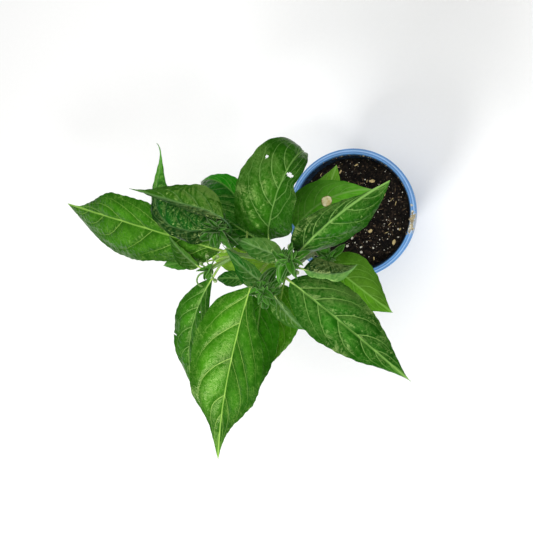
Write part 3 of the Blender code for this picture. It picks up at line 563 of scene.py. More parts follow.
def living_leaf(name, greens, vein, roughness, clear, vein_width=0.22, rim=0.0, shine=0.38, tip=None):
    """A living leaf blade: waxed and quilted, so that a broad soft shine breaks up on its puckers, with
    yellower, duller veins and an uneven green. Downy young leaves shine less. clear is how much the
    veins stand out, and rim how pale the margin is. tip is where its paler end starts, and its colour."""
    material, tree, shader = new_material(name, roughness, 1.45, shine)
    # What the mesh says of each spot. Side veins: their count, its growth in a millimetre, and strength.
    # Place: millimetres along and out, and the distance from the net. Marks: the share of the way out
    # to the margin, the wound, and how far the tissue swells.
    lines = add(tree, "Attribute", attribute_name="side_veins").outputs["Vector"]
    side = add(tree, "SeparateXYZ", {"Vector": lines})
    place = add(tree, "Attribute", attribute_name="blade_place").outputs["Vector"]
    across = add(tree, "SeparateXYZ", {"Vector": place})
    shares = add(tree, "Attribute", attribute_name="blade_marks").outputs["Vector"]
    marks = add(tree, "SeparateXYZ", {"Vector": shares})

    # Distance to the nearest side vein, in vein widths.
    off = add(tree, "Math", {0: side.outputs["X"], 1: 0.5}, operation="PINGPONG")
    far = add(tree, "Math", {0: off, 1: side.outputs["Y"]}, operation="DIVIDE")
    wide = add(tree, "Math", {0: side.outputs["Z"], 1: vein_width, 2: 0.0001}, operation="MULTIPLY_ADD")
    widths = add(tree, "Math", {0: far, 1: wide}, operation="DIVIDE")
    line = add(tree, "MapRange", {"Value": widths, "From Min": 0.5, "From Max": 1.9, "To Min": clear,
                                  "To Max": 0.0}, interpolation_type="SMOOTHSTEP")
    # Weaker veins sink into the green, and fade towards the margin.
    faded = add(tree, "MapRange", {"Value": side.outputs["Z"], "To Min": 0.15})
    line = add(tree, "Math", {0: line, 1: faded}, operation="MULTIPLY")
    # The midrib's own pale margin, in millimetres.
    out = add(tree, "Math", {0: across.outputs["Y"]}, operation="ABSOLUTE")
    middle = add(tree, "MapRange", {"Value": out, "From Min": 0.3, "From Max": 1.1, "To Min": 1.35 * clear,
                                    "To Max": 0.0}, interpolation_type="SMOOTHSTEP")
    # The net of small veins between them, and a finer one of 2 mm meshes, only just paler.
    net = add(tree, "MapRange", {"Value": across.outputs["Z"], "From Min": 0.0, "From Max": 0.11,
                                 "To Min": 0.36 * clear, "To Max": 0.0}, interpolation_type="SMOOTHSTEP")
    meshes = add(tree, "TexVoronoi", {"Vector": place, "Scale": 0.5}, feature="DISTANCE_TO_EDGE")
    fine = add(tree, "MapRange", {"Value": meshes, "From Min": 0.0, "From Max": 0.12, "To Min": 0.22 * clear,
                                  "To Max": 0.0})
    net = add(tree, "Math", {0: net, 1: fine}, operation="ADD")
    # The net shows in patches 8 mm wide.
    patches = add(tree, "TexNoise", {"Vector": place, "Scale": 0.12, "Detail": 2.0})
    shown = add(tree, "MapRange", {"Value": patches, "From Min": 0.35, "From Max": 0.6})
    net = add(tree, "Math", {0: net, 1: shown}, operation="MULTIPLY")
    veins = add(tree, "Math", {0: line, 1: middle}, operation="MAXIMUM")
    veins = add(tree, "Math", {0: veins, 1: net}, operation="MAXIMUM")

    # Two greens, one on each half, with painted light and shade over them in clouds 25 mm wide and mottling 4
    # mm wide.
    half = add(tree, "MapRange", {"Value": across.outputs["Y"], "From Min": -0.5, "From Max": 0.5})
    blade = add(tree, "Mix", {"Factor": half, MIX_A: linear(greens[1]), MIX_B: linear(greens[0])},
                data_type="RGBA")
    if tip:
        start, pale = tip
        outer = add(tree, "MapRange", {"Value": across.outputs["X"], "From Min": start,
                                       "From Max": start + 20})
        blade = add(tree, "Mix", {"Factor": outer, MIX_A: blade, MIX_B: linear(pale)}, data_type="RGBA")
    flat = add(tree, "VectorMath", {0: place, 1: (0.04, 0.04, 0)}, operation="MULTIPLY")
    clouds = add(tree, "TexNoise", {"Vector": flat, "Scale": 1.0, "Detail": 2.0})
    mottle = add(tree, "TexNoise", {"Vector": flat, "Scale": 6.0, "Detail": 4.0})
    both = add(tree, "Math", {0: mottle, 1: 0.5, 2: clouds}, operation="MULTIPLY_ADD")
    light = add(tree, "MapRange", {"Value": both, "From Min": 0.58, "From Max": 0.92, "To Min": 0.8,
                                   "To Max": 1.2})
    # Painted shade in the creases along the side veins, and painted light on the swell of tissue between
    # them.
    raised = add(tree, "MapRange", {"Value": marks.outputs["Z"], "To Min": 0.54, "To Max": 1.18})
    light = add(tree, "Math", {0: light, 1: raised}, operation="MULTIPLY")
    # Shaded tissue is a purer green, and lit tissue a greyer one.
    lit = add(tree, "MapRange", {"Value": light, "From Min": 0.45, "From Max": 1.4})
    tint = add(tree, "Mix", {"Factor": lit, MIX_A: (0.36, 0.5, 0.3, 1), MIX_B: (1.46, 1.34, 1.7, 1)},
               data_type="RGBA")
    green = add(tree, "Mix", {"Factor": 1.0, MIX_A: blade, MIX_B: tint},
                data_type="RGBA", blend_type="MULTIPLY")
    veined = add(tree, "Mix", {"Factor": veins, MIX_A: green, MIX_B: linear(vein)}, data_type="RGBA")
    if rim:
        edge = add(tree, "MapRange", {"Value": marks.outputs["X"], "From Min": 0.8, "From Max": 1.0,
                                      "To Max": rim})
        veined = add(tree, "Mix", {"Factor": edge, MIX_A: veined, MIX_B: linear("#C4D6A8")}, data_type="RGBA")
    # A dried wound with a torn outline: papery, streaked tan inside a brown edge.
    torn = add(tree, "Math", {0: marks.outputs["Y"], 1: mottle}, operation="MULTIPLY")
    brown = add(tree, "MapRange", {"Value": torn, "From Min": 0.05, "From Max": 0.08})
    edged = add(tree, "Mix", {"Factor": brown, MIX_A: veined, MIX_B: linear("#6E5F2C")}, data_type="RGBA")
    streak = add(tree, "MapRange", {"Value": mottle, "From Min": 0.38, "From Max": 0.6})
    tan = add(tree, "Mix", {"Factor": streak, MIX_A: linear("#CDB878"), MIX_B: linear("#FFF8D2")},
              data_type="RGBA")
    inside = add(tree, "MapRange", {"Value": torn, "From Min": 0.08, "From Max": 0.13})
    healed = add(tree, "Mix", {"Factor": inside, MIX_A: edged, MIX_B: tan}, data_type="RGBA")
    tree.links.new(healed.outputs[MIX_OUT], shader.inputs["Base Color"])

    dull = add(tree, "MapRange", {"Value": mottle, "From Min": 0.3, "From Max": 0.7,
                                  "To Min": roughness - 0.06, "To Max": roughness + 0.08})
    dull = add(tree, "Math", {0: veins, 1: 0.12, 2: dull}, operation="MULTIPLY_ADD")
    tree.links.new(dull.outputs["Value"], shader.inputs["Roughness"])
    shader.inputs["Specular Tint"].default_value = linear("#C6DC80")
    # Grain of the cuticle, drawn 1.2 mm wide so that it breaks up the shine, on the swell of each mesh.
    grain = add(tree, "TexNoise", {"Vector": place, "Scale": 0.8, "Detail": 3.0})
    swell = add(tree, "Math", {0: meshes, 1: 0.8, 2: grain}, operation="MULTIPLY_ADD")
    bump = add(tree, "Bump", {"Strength": 0.6, "Distance": 0.2 * MM, "Height": swell})
    tree.links.new(bump.outputs["Normal"], shader.inputs["Normal"])
    return material


# ---------------------------------------------------------------- meshes
NO_VEIN = (0.0, 1.0, 0.0)
NO_PLACE = (0.0, 99.0, 9.0)
NO_MARK = (0.0, 0.0, 0.0)


class Shell:
    """Vertices and faces gathered for one piece, with what the leaf materials read from them."""

    def __init__(self):
        self.points, self.faces, self.slots = [], [], []
        self.place, self.marks, self.side_veins = [], [], []
        self.leafy = False

    def add(self, points, faces, slot=0, place=None, marks=None, side_veins=None):
        """Adds faces, which are rows of indices into points. slot is one number, or one for each face."""
        start = len(self.points)
        corners = sum(len(face) for face in faces)
        self.points.extend(np.asarray(points, float).reshape(-1, 3).tolist())
        self.faces.extend([start + i for i in face] for face in faces)
        self.slots.extend([slot] * len(faces) if isinstance(slot, int) else slot)
        added = len(self.points) - start
        self.leafy = self.leafy or place is not None
        self.place.extend([NO_PLACE] * added if place is None else place)
        self.marks.extend([NO_MARK] * added if marks is None else marks)
        self.side_veins.extend([NO_VEIN] * corners if side_veins is None else side_veins)

    def mesh(self, name):
        """A mesh of all that was gathered."""
        made = bpy.data.meshes.new(name)
        made.from_pydata(self.points, [], self.faces)
        made.polygons.foreach_set("material_index", self.slots)
        if self.leafy:
            for label, values, domain in (("blade_place", self.place, "POINT"),
                                          ("blade_marks", self.marks, "POINT"),
                                          ("side_veins", self.side_veins, "CORNER")):
                layer = made.attributes.new(label, "FLOAT_VECTOR", domain)
                layer.data.foreach_set("vector", np.array(values, np.float32).ravel())
        return made


def linked_object(name, data):
    """An object in the scene that shows the given mesh, lamp or camera."""
    made = bpy.data.objects.new(name, data)
    bpy.context.scene.collection.objects.link(made)
    return made


def place_piece(name, mesh, materials, replaces=(), sharp=40):
    """Links the piece, rides it on the plant's one body and hides the CAD parts that it stands for."""
    piece = linked_object(name, mesh)
    for material in materials:
        mesh.materials.append(material)
    mesh.shade_smooth()
    mesh.set_sharp_from_angle(angle=math.radians(sharp))
    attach(piece, "root")
    if replaces:
        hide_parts(*replaces)
    return piece


def spline(knots, t):
    """Points of the Catmull-Rom curve through the knots, at places t counted in knots."""
    knots = np.asarray(knots, float)
    i = np.clip(np.floor(t).astype(int), 0, len(knots) - 2)
    u = np.asarray(t - i).reshape((-1,) + (1,) * (knots.ndim - 1))
    padded = np.concatenate([[2 * knots[0] - knots[1]], knots, [2 * knots[-1] - knots[-2]]])
    a, b, c, d = (padded[i + k] for k in range(4))
    return 0.5 * (2 * b + (c - a) * u + (2 * a - 5 * b + 4 * c - d) * u * u
                  + (3 * b - a - 3 * c + d) * u ** 3)


def unit(vectors):
    """The vectors, each at a length of 1."""
    return vectors / np.linalg.norm(vectors, axis=-1, keepdims=True)


def tube(route, radii, sides, ribs=0.0):
    """A rod along a route: its points and faces. ribs is how far its edges stand out, as a share."""
    route, radii = np.asarray(route, float), np.asarray(radii, float)
    ways = unit(np.gradient(route, axis=0))
    side = np.cross(ways[0], (0.3, 0.2, 0.93))
    turn = np.arange(sides) * 2 * math.pi / sides
    section = 1 + ribs * np.cos(STEM_RIBS * turn)
    points = []
    for place, way, radius in zip(route, ways, radii):
        side = unit(side - way * side.dot(way))
        up = np.cross(way, side)
        points.append(place + radius * ((np.cos(turn) * section)[:, None] * side
                                        + (np.sin(turn) * section)[:, None] * up))
    faces = []
    for i in range(len(route) - 1):
        for k in range(sides):
            after = (k + 1) % sides
            faces.append((i * sides + k, i * sides + after, (i + 1) * sides + after, (i + 1) * sides + k))
    last = (len(route) - 1) * sides
    faces.append(tuple(range(sides - 1, -1, -1)))
    faces.append(tuple(range(last, last + sides)))
    return np.concatenate(points), faces


def around(radius, angle, *height):
    """A point at a distance and an angle about the pot's axis."""
    return (radius * math.cos(angle), radius * math.sin(angle), *height)


def about_z(angle):
    """A turn about the upright axis."""
    return np.array([[math.cos(angle), -math.sin(angle), 0], [math.sin(angle), math.cos(angle), 0],
                     [0, 0, 1]])


def turned(profile, steps):
    """A closed profile of (radius, height), outer side first and running down, turned about Z."""
    points, rings, faces = [], [], []
    for radius, height in profile:
        if radius < 0.01 * MM:
            rings.append([len(points)] * steps)
            points.append((0, 0, height))
        else:
            rings.append(list(range(len(points), len(points) + steps)))
            points += [around(radius, 2 * math.pi * k / steps, height) for k in range(steps)]
    for upper, lower in zip(rings, rings[1:] + rings[:1]):
        for k in range(steps):
            corners = [upper[k], lower[k], lower[(k + 1) % steps], upper[(k + 1) % steps]]
            corners = [c for i, c in enumerate(corners) if c != corners[i - 1]]
            if len(corners) > 2:
                faces.append(corners)
    return points, faces


# ---------------------------------------------------------------- stems and blades, as in the CAD
def stem_route(stem):
    """A stem's points and the radius at each."""
    knots = np.array(stem["points"]) * MM
    route = spline(knots, np.linspace(0, len(knots) - 1, 14 * (len(knots) - 1) + 1))
    far = run_length(route)
    first, last = stem["radius"]
    return route, (first + (last - first) * far / far[-1]) * MM


def run_length(route):
    """Distance along a route up to each of its points."""
    return np.concatenate([[0], np.cumsum(np.linalg.norm(np.diff(route, axis=0), axis=1))])


def along(stem, at):
    """Point, direction and radius at a share of a stem's length."""
    route, radii = stem_route(stem)
    far = run_length(route)
    i = min(int(np.searchsorted(far, at * far[-1], side="right")), len(route) - 1) - 1
    step = route[i + 1] - route[i]
    share = (at * far[-1] - far[i]) / (far[i + 1] - far[i])
    return route[i] + step * share, unit(step), radii[i]


def directions(leaf, s):
    """Which way the midrib runs at the shares s of the blade, and its heading there."""
    rise = np.radians(leaf["rise"] - leaf["droop"] * s ** leaf["power"])
    if leaf["headings"]:
        heading = np.radians(spline(leaf["headings"], s * (len(leaf["headings"]) - 1)))
    else:
        heading = np.radians(leaf["heading"] + leaf["bow"] * s)
    level = np.cos(rise)
    return np.stack([level * np.cos(heading), level * np.sin(heading), np.sin(rise)], -1), heading


def midrib(leaf, s):
    """Points on the midrib, with the blade's left and upward directions there."""
    fine = np.linspace(0, 1, 401)
    steps = directions(leaf, (fine[1:] + fine[:-1]) / 2)[0] * leaf["length"] * MM / 400
    path = np.array(leaf["base"]) * MM + np.concatenate([np.zeros((1, 3)), np.cumsum(steps, axis=0)])
    points = np.stack([np.interp(s, fine, path[:, k]) for k in range(3)], -1)
    ways, heading = directions(leaf, s)
    level = np.stack([-np.sin(heading), np.cos(heading), 0 * heading], -1)
    roll = np.radians(leaf["roll"] + leaf["twist"] * s)[:, None]
    left = level * np.cos(roll) + np.cross(ways, level) * np.sin(roll)
    return points, left, np.cross(ways, left)


def half_width(leaf, s, side):
    """Distance from midrib to margin: rounded at the stalk, drawn out to a fine tip."""
    least = LEAF_EDGE + (TIP_EDGE - LEAF_EDGE) * s
    if leaf["margins"]:
        width = spline(leaf["margins"][side], s * (len(leaf["margins"][side]) - 1))
    else:
        widest = leaf["widest"][side]
        sharp = leaf["blunt"] * (1 - widest) / widest
        width = leaf[("left", "right")[side]] * (s / widest) ** leaf["blunt"]
        width = width * ((1 - s) / (1 - widest)) ** sharp * (1 - 0.3 * s ** 5)
    width = width * (1 - side * leaf["notch"] * np.exp(-((s - NICK) / NICK_SPREAD) ** 2))
    return np.maximum(least, width * MM)


def vein_field(leaf, s, q, width, side):
    """The side veins of one half: a count that is whole on each vein, how much it grows in a
    millimetre, and how strong the vein is. q is the share of the way out to the margin."""
    origins = np.array(leaf["veins"][side])
    last = len(origins)
    reach = VEIN_LIMIT * width.max() / (leaf["length"] * MM * math.tan(VEIN_ANGLE))
    spread = q / VEIN_LIMIT
    lag = -reach * np.log(1 - spread)
    knots = np.concatenate([[origins[0] - 10 * (origins[1] - origins[0])], origins,
                            [origins[-1] + 10 * (origins[-1] - origins[-2])]])
    values = np.concatenate([[-9], np.arange(1, last + 1), [last + 10]])
    start = s - lag
    count = np.interp(start, knots, values)
    pace = (np.diff(values) / np.diff(knots))[np.clip(np.searchsorted(knots, start) - 1, 0, last)]
    steep = reach / (VEIN_LIMIT * (1 - spread)) / (np.maximum(width, 1 * MM) / MM)
    growth = pace * np.hypot(1 / leaf["length"], steep)
    strength = np.clip(1.2 - lag / (1.9 * reach), 0, 1) * np.clip(1.6 - s, 0, 1)
    strength *= (count > 0.5) & (count < last + 0.5)
    return count, growth, strength


def scatter_cells(x, y, seed):
    """How much farther the second nearest of points strewn one to a unit square lies than the nearest."""
    nearest, second = np.full(x.shape, 9.0), np.full(x.shape, 9.0)
    for i in (-1, 0, 1):
        for j in (-1, 0, 1):
            cx, cy = np.floor(x) + i, np.floor(y) + j
            jog = [np.modf(np.abs(np.sin(cx * a + cy * b + seed) * 43758.5))[0]
                   for a, b in ((127.1, 311.7), (269.5, 183.3))]
            away = np.hypot(cx + jog[0] - x, cy + jog[1] - y)
            second = np.minimum(second, np.maximum(nearest, away))
            nearest = np.minimum(nearest, away)
    return second - nearest


def add_blade(shell, leaf, cell, thickness, swell, seed):
    """A leaf blade with puckers between its side veins, as a thin closed sheet."""
    rows = max(10, round(leaf["length"] * MM / cell))
    s = np.linspace(0, 1, rows + 1)
    # Half widths, whose margins waver.
    widths = []
    for side in (0, 1):
        uneven = np.sin(s * leaf["length"] / 2.6 + seed + side) + np.sin(s * leaf["length"] / 1.1 + 2 * seed)
        widths.append(half_width(leaf, s, side) + WAVER * uneven * np.sin(math.pi * s))
    columns = [max(4, round(width.max() / cell)) for width in widths]
    v = np.concatenate([-np.linspace(1, 0, columns[1] + 1), np.linspace(0, 1, columns[0] + 1)[1:]])
    share, across = np.meshgrid(s, v, indexing="ij")
    q = np.abs(across)
    on_left = across > 0
    width = np.where(on_left, widths[0][:, None], widths[1][:, None])

    # The smooth sheet: folded up at the midrib, arched down towards the margins, and waved there.
    points, left, up = midrib(leaf, s)
    fold, arch = math.radians(leaf["fold"]), math.radians(leaf["arch"])
    outward = (np.sin(fold + arch * q) - math.sin(fold)) / arch * np.sign(across) * width
    phase = 2 * MARGIN_WAVES * math.pi * share + 2 * ~on_left
    wave = leaf["ripple"] * MM * q ** 3 * np.sin(phase) * np.sin(math.pi * share)
    raised = (math.cos(fold) - np.cos(fold + arch * q)) / arch * width + wave
    sheet = points[:, None] + left[:, None] * outward[..., None] + up[:, None] * raised[..., None]
    normal = unit(np.cross(np.gradient(sheet, axis=0), np.gradient(sheet, axis=1)))

    # Relief: hills between side veins, humps in the meshes of the net, and a slow drift of it all.
    fields = [vein_field(leaf, share, q, width, side) for side in (0, 1)]
    count, growth, strength = (np.where(on_left, fields[0][k], fields[1][k]) for k in range(3))
    off = np.abs(count - np.round(count))
    inner = 1 - np.clip((q - 0.6) / 0.4, 0, 1) ** 2
    room = np.minimum(1, width / FULL_WIDTH)
    hill = (1 - (1 - 2 * off) ** 2.4) * np.sin(math.pi * q ** 0.75) ** 0.5 * inner
    hill *= np.minimum(1, 1 / growth / 12) ** 1.5
    run, reach = share * leaf["length"], across * width / MM
    warp = [np.sin(run / 3.1 + reach / 4.3 + seed), np.sin(run / 4.7 - reach / 2.9 + 2 * seed)]
    net = scatter_cells((run + 1.3 * warp[0]) / QUILT, (reach + 1.3 * warp[1]) / QUILT, seed)
    fine = scatter_cells((run + 0.9 * warp[1]) / CRINKLE, (reach + 0.9 * warp[0]) / CRINKLE, seed + 3)
    patchy = 0.5 + 0.5 * np.sin(run / 7.3 + 2 * seed) * np.sin(reach / 5.1 + run / 11 + seed)
    humps = (np.clip(net, 0, 0.7) + 0.45 * np.clip(fine, 0, 0.6) * patchy) * np.minimum(1, q * 5) * inner
    drift = np.sin(share * 9 + seed) * np.sin(across * 2.3 + seed * 2 + share * 4)
    bulge = swell * MM * room * (leaf["pucker"] * hill + leaf["net"] * 2 * humps) + DRIFT * drift * q * room
    bulge *= 1 - q ** 8
    half = thickness / 2 * (0.4 + 0.6 * (1 - q ** 6))
    keel = KEEL * np.exp(-(off / growth / 0.5) ** 2) * strength * (1 - q ** 4)
    top = sheet + normal * (bulge + half)[..., None]
    bottom = sheet + normal * (bulge - half - keel)[..., None]

    # Cells eaten away, and a wound that the material draws.
    kept = np.ones((rows, len(v) - 1), bool)
    middle_s = (share[1:, 1:] + share[:-1, :-1]) / 2
    middle_x = ((across * width)[1:, 1:] + (across * width)[:-1, :-1]) / 2 / MM
    for hole_s, hole_x, long, wide in leaf["holes"]:
        kept &= ((middle_s - hole_s) * leaf["length"] / long) ** 2 + ((middle_x - hole_x) / wide) ** 2 > 1

    scar = np.zeros(share.shape)
    if leaf["scar"]:
        scar_s, scar_x, long, wide = leaf["scar"]
        out = np.hypot((share - scar_s) * leaf["length"] / long, (across * width / MM - scar_x) / wide)
        scar = np.clip(1 - out, 0, 1)

    # Faces above and below, and the edge that closes them round the margin and each hole.
    index = np.arange(share.size).reshape(share.shape)
    corner = [index[:-1, :-1], index[1:, :-1], index[1:, 1:], index[:-1, 1:]]
    lower = share.size
    is_left_cell = np.broadcast_to(v[:-1] >= 0, kept.shape)
    veins = np.stack([np.stack(field, -1).reshape(-1, 3) for field in fields])

    def cell_veins(cells, order):
        which = np.where(is_left_cell[cells], 0, 1)
        return np.stack([veins[which, corner[k][cells]] for k in order], 1).reshape(-1, 3)

    faces = [np.stack([c[kept] for c in corner], 1)]
    faces.append(np.stack([c[kept] + lower for c in corner[::-1]], 1))
    vein_rows = [cell_veins(kept, (0, 1, 2, 3)), cell_veins(kept, (3, 2, 1, 0))]
    padded = np.pad(kept, 1)
    for (di, dj), (a, b) in {(0, -1): (0, 1), (1, 0): (1, 2), (0, 1): (2, 3), (-1, 0): (3, 0)}.items():
        open_edge = kept & ~padded[1 + di:1 + di + rows, 1 + dj:1 + dj + len(v) - 1]
        first, second = corner[a][open_edge], corner[b][open_edge]
        faces.append(np.stack([second, first, first + lower, second + lower], 1))
        vein_rows.append(cell_veins(open_edge, (b, a, a, b)))
    faces = np.concatenate(faces)
    cells = int(kept.sum())
    slots = [UPPER] * cells + [UNDER] * cells + [UPPER] * (len(faces) - 2 * cells)

    used, packed = np.unique(faces, return_inverse=True)
    place = np.stack([share * leaf["length"], across * width / MM, net], -1).reshape(-1, 3)
    marks = np.stack([q, scar, hill * room + 0.75 * (1 - room)], -1).reshape(-1, 3)
    both = np.concatenate([top.reshape(-1, 3), bottom.reshape(-1, 3)])
    shell.add(both[used], packed.reshape(faces.shape).tolist(), slots,
              np.concatenate([place, place])[used].tolist(), np.concatenate([marks, marks])[used].tolist(),
              np.concatenate(vein_rows).tolist())


def add_stalk(shell, leaf):
    """A leaf's stalk from its swollen foot, running on under the blade as the midrib."""
    point, way, stem_radius = along(STEMS[leaf["stem"]], leaf["at"])
    thick = (0.55 + leaf["length"] / 250) * MM
    base = np.array(leaf["base"]) * MM
    away = base - point
    away -= away.dot(way) * way
    start_way = unit(unit(away) + 0.5 * way)
    start = point + start_way * stem_radius * 0.6
    pull = 0.4 * np.linalg.norm(base - start)
    t = np.linspace(0, 1, 17)[:-1, None]
    first = directions(leaf, np.zeros(1))[0][0]
    route = (start * (1 - t) ** 3 + (start + start_way * pull) * 3 * t * (1 - t) ** 2
             + (base - first * pull) * 3 * t * t * (1 - t) + base * t ** 3)
    s = np.linspace(0, 0.97, max(12, round(leaf["length"] / 4)))
    rib, _, up = midrib(leaf, s)
    taper = thick * (0.9 - 0.72 * s ** 0.8)
    sink = 0.2 + 0.5 * np.minimum(1, s / 0.12)
    radii = np.concatenate([thick * (0.9 + 0.35 * np.exp(-(t[:, 0] / 0.1) ** 2)), taper])
    shell.add(*tube(np.concatenate([route, rib - up * (taper * sink)[:, None]]), radii, 12, ribs=0.03), STALK)


# ---------------------------------------------------------------- small things
def ball(detail):
    """Points and faces of a round ball of radius 1."""
    shape = bmesh.new()
    bmesh.ops.create_icosphere(shape, subdivisions=detail, radius=1)
    points = np.array([vertex.co for vertex in shape.verts])
    faces = [[vertex.index for vertex in face.verts] for face in shape.faces]
    shape.free()
    return points, faces


def add_crumb(shell, form, place, size, rng, slot=0, rough=0.18, level=False):
    """An irregular crumb of three given half sizes, turned at random."""
    points, faces = form
    jog = np.array([1 + rng.uniform(-rough, rough) for _ in points])
    turn = random_turn(rng, level)
    shell.add((points * jog[:, None] * np.array(size)) @ turn.T + np.array(place), faces, slot)


def random_turn(rng, level):
    """A random turn, or one about an upright axis with a slight lean."""
    lean = rng.uniform(-0.25, 0.25) if level else rng.uniform(0, math.pi)
    leaning = np.array([[1, 0, 0], [0, math.cos(lean), -math.sin(lean)], [0, math.sin(lean), math.cos(lean)]])
    return about_z(rng.uniform(0, 2 * math.pi)) @ leaning


def soil_height(x, y):
    """Height of the mix: the CAD's gentle relief, with clods on it."""
    broad = noise.noise(Vector((x, y, SOIL_LEVEL)) / (9 * MM))
    clods = noise.fractal(Vector((x, y, 0)) / (4.5 * MM), 0.7, 2.1, 4)
    return SOIL_LEVEL + 1.3 * MM * broad + 0.9 * MM * clods


def add_pod(shell, root, way, across, long, slot, depth=0.06):
    """A closed bud along a direction, of the given half width and length, with five shallow lobes."""
    sides, rings, lobes = 20, 10, 5
    way = unit(np.asarray(way, float))
    side = unit(np.cross(way, (0.31, 0.17, 0.9)))
    up = np.cross(way, side)
    t = np.linspace(0, 1, rings + 1)[1:-1]
    radius = across * np.sin(math.pi * t ** 0.8) ** 0.75
    turn = np.arange(sides) * 2 * math.pi / sides
    points = [root]
    for share, wide in zip(t, radius):
        bent = wide * (1 + depth * np.cos(lobes * turn + 2 * share))
        points += list(root + way * long * share + np.outer(np.cos(turn) * bent, side)
                       + np.outer(np.sin(turn) * bent, up))
    points.append(root + way * long)
    faces = []
    for k in range(sides):
        after = (k + 1) % sides
        faces.append((0, 1 + after, 1 + k))
        for i in range(rings - 2):
            low, high = 1 + i * sides, 1 + (i + 1) * sides
            faces.append((low + k, low + after, high + after, high + k))
        last = 1 + (rings - 2) * sides
        faces.append((last + k, last + after, len(points) - 1))
    shell.add(points, faces, slot)


def level_way(heading):
    """The level direction with a heading in degrees."""
    return np.array([math.cos(math.radians(heading)), math.sin(math.radians(heading)), 0])


def young_leaf(root, heading, rise, length, **turns):
    """A small folded leaf whose blade starts in the shoot's core. turns are other angles of the blade."""
    return {**LEAF, "base": tuple(root / MM), "heading": heading, "rise": rise, "droop": 55, "bow": 20,
            "length": length, "left": 0.22 * length, "right": 0.22 * length, "fold": 42,
            "blunt": 0.46, "widest": (0.42, 0.38),
            "pucker": 1.0, "net": 0.6, "veins": ((0.15, 0.35, 0.55, 0.75), (0.22, 0.42, 0.62, 0.8)), **turns}


# ---------------------------------------------------------------- operators
def pot_profile(rim, top):
    """The pot's section, from the top of the rim down the outside and up the inside."""
    inner = rim - RIM_WIDTH

    def wall_radius(height):
        return POT_FOOT + (inner + WALL - POT_FOOT) * height / top

    under = top - 2.2 * MM
    steps = 12
    profile = [(rim - 1.1 * MM, top), (rim - 0.45 * MM, top - 0.15 * MM), (rim - 0.1 * MM, top - 0.5 * MM),
               (rim, top - 1 * MM), (rim - 0.1 * MM, top - 4 * MM), (rim - 0.1 * MM, top - 4.3 * MM),
               (rim - 0.4 * MM, top - 11.8 * MM), (rim - 0.6 * MM, top - 12 * MM),
               (rim - 1.5 * MM, top - 12 * MM), (rim - 1.7 * MM, top - 11.8 * MM), (rim - 1.3 * MM, under)]
    outside = (under + (WALL - under) * i / steps for i in range(steps + 1))
    profile += [(wall_radius(height), height) for height in outside]
    profile += [(POT_FOOT - 0.3 * MM, 0.4 * MM), (POT_FOOT - 1.2 * MM, 0), (POT_FOOT - 6 * MM, 0),
                (POT_FOOT - 6.6 * MM, 0.5 * MM), (0, 0.5 * MM), (0, WALL), (wall_radius(WALL) - WALL, WALL)]
    inside = (top * (0.1 + 0.86 * i / steps) for i in range(steps + 1))
    profile += [(wall_radius(height) - WALL, height) for height in inside]
    # The top of the rim: a bevel, a bead and two fine grooves left by the mould.
    profile += [(inner, top - 0.9 * MM), (inner + 0.15 * MM, top - 0.45 * MM),
                (inner + 0.55 * MM, top - 0.1 * MM), (inner + 1.1 * MM, top), (inner + 1.75 * MM, top),
                (inner + 1.95 * MM, top - 0.3 * MM), (inner + 2.2 * MM, top - 0.3 * MM),
                (inner + 2.4 * MM, top)]
    return profile


def join_with(piece, others, operation):
    """Cuts the others out of the piece or grows it together with them, and discards them."""
    for other in others:
        change = piece.modifiers.new(operation.lower(), "BOOLEAN")
        change.operation = operation
        change.object = other
    graph = bpy.context.evaluated_depsgraph_get()
    made = bpy.data.meshes.new_from_object(piece.evaluated_get(graph))
    piece.modifiers.clear()
    piece.data = made
    for other in others:
        bpy.data.objects.remove(other, do_unlink=True)


def add_crust(rim, top, count):
    """Dried mix and lime on one side of the rim, and mix stuck to the wall inside it."""
    inner = rim - RIM_WIDTH
    crust = Shell()
    rng = random.Random(11)
    form = ball(1)
    for _ in range(count):
        angle = math.radians(rng.choice((rng.gauss(-4, 3), rng.gauss(-12, 3), rng.uniform(-22, 12))))
        far = rng.triangular(inner - 0.2 * MM, rim - 0.6 * MM, rim - 3.5 * MM)
        size = rng.uniform(0.3, 1.2) * MM
        add_crumb(crust, form, around(far, angle, top + 0.1 * size),
                  (size, size * rng.uniform(0.6, 1), size * 0.35), rng, slot=rng.choice((0, 0, 1)),
                  level=True)
    for _ in range(count):
        angle = math.radians(rng.triangular(15, 125, 75))
        size = rng.uniform(0.3, 0.9) * MM
        far = inner - 0.4 * MM
        add_crumb(crust, form, around(far, angle, top - rng.uniform(1, 5) * MM),
                  (size, size, size * 0.7), rng, slot=rng.choice((0, 2, 2)))
    place_piece("rim_crust", crust.mesh("rim_crust"),
                [rough_matter("dried_mix_crust", ("#75664A", "#C2B48E"), 1.5 * MM),
                 rough_matter("lime_bloom", ("#B9B7A6", "#E4E0CE"), 1.5 * MM),
                 rough_matter("stuck_mix", ("#2A2119", "#5E5140"), 1.5 * MM)])


class CHILLI_OT_pot(bpy.types.Operator):
    """The plastic pot with its rolled rim, drain holes and dried crust"""
    bl_idname = "chilli.pot"
    bl_label = "Pot"
    bl_options = {"REGISTER", "UNDO"}

    def execute(self, context):
        settings = context.scene.chilli_pot
        top, rim = settings.height, settings.rim_radius
        shell = Shell()
        shell.add(*turned(pot_profile(rim, top), 160))
        pot = place_piece("pot_moulded", shell.mesh("pot"), [moulded_polypropylene(settings.colour)],
                          ("pot",), sharp=50)
        drills = []
        for i in range(DRAIN_HOLES):
            x, y = around(DRAIN_RING, 2 * math.pi * i / DRAIN_HOLES)
            drill = Shell()
            drill.add(*tube([(x, y, -3 * MM), (x, y, 4 * MM)], (DRAIN_RADIUS, DRAIN_RADIUS), 32))
            drills.append(linked_object("drill", drill.mesh("drill")))
        join_with(pot, drills, "DIFFERENCE")
        add_crust(rim, top, settings.crust_count)
        return {"FINISHED"}


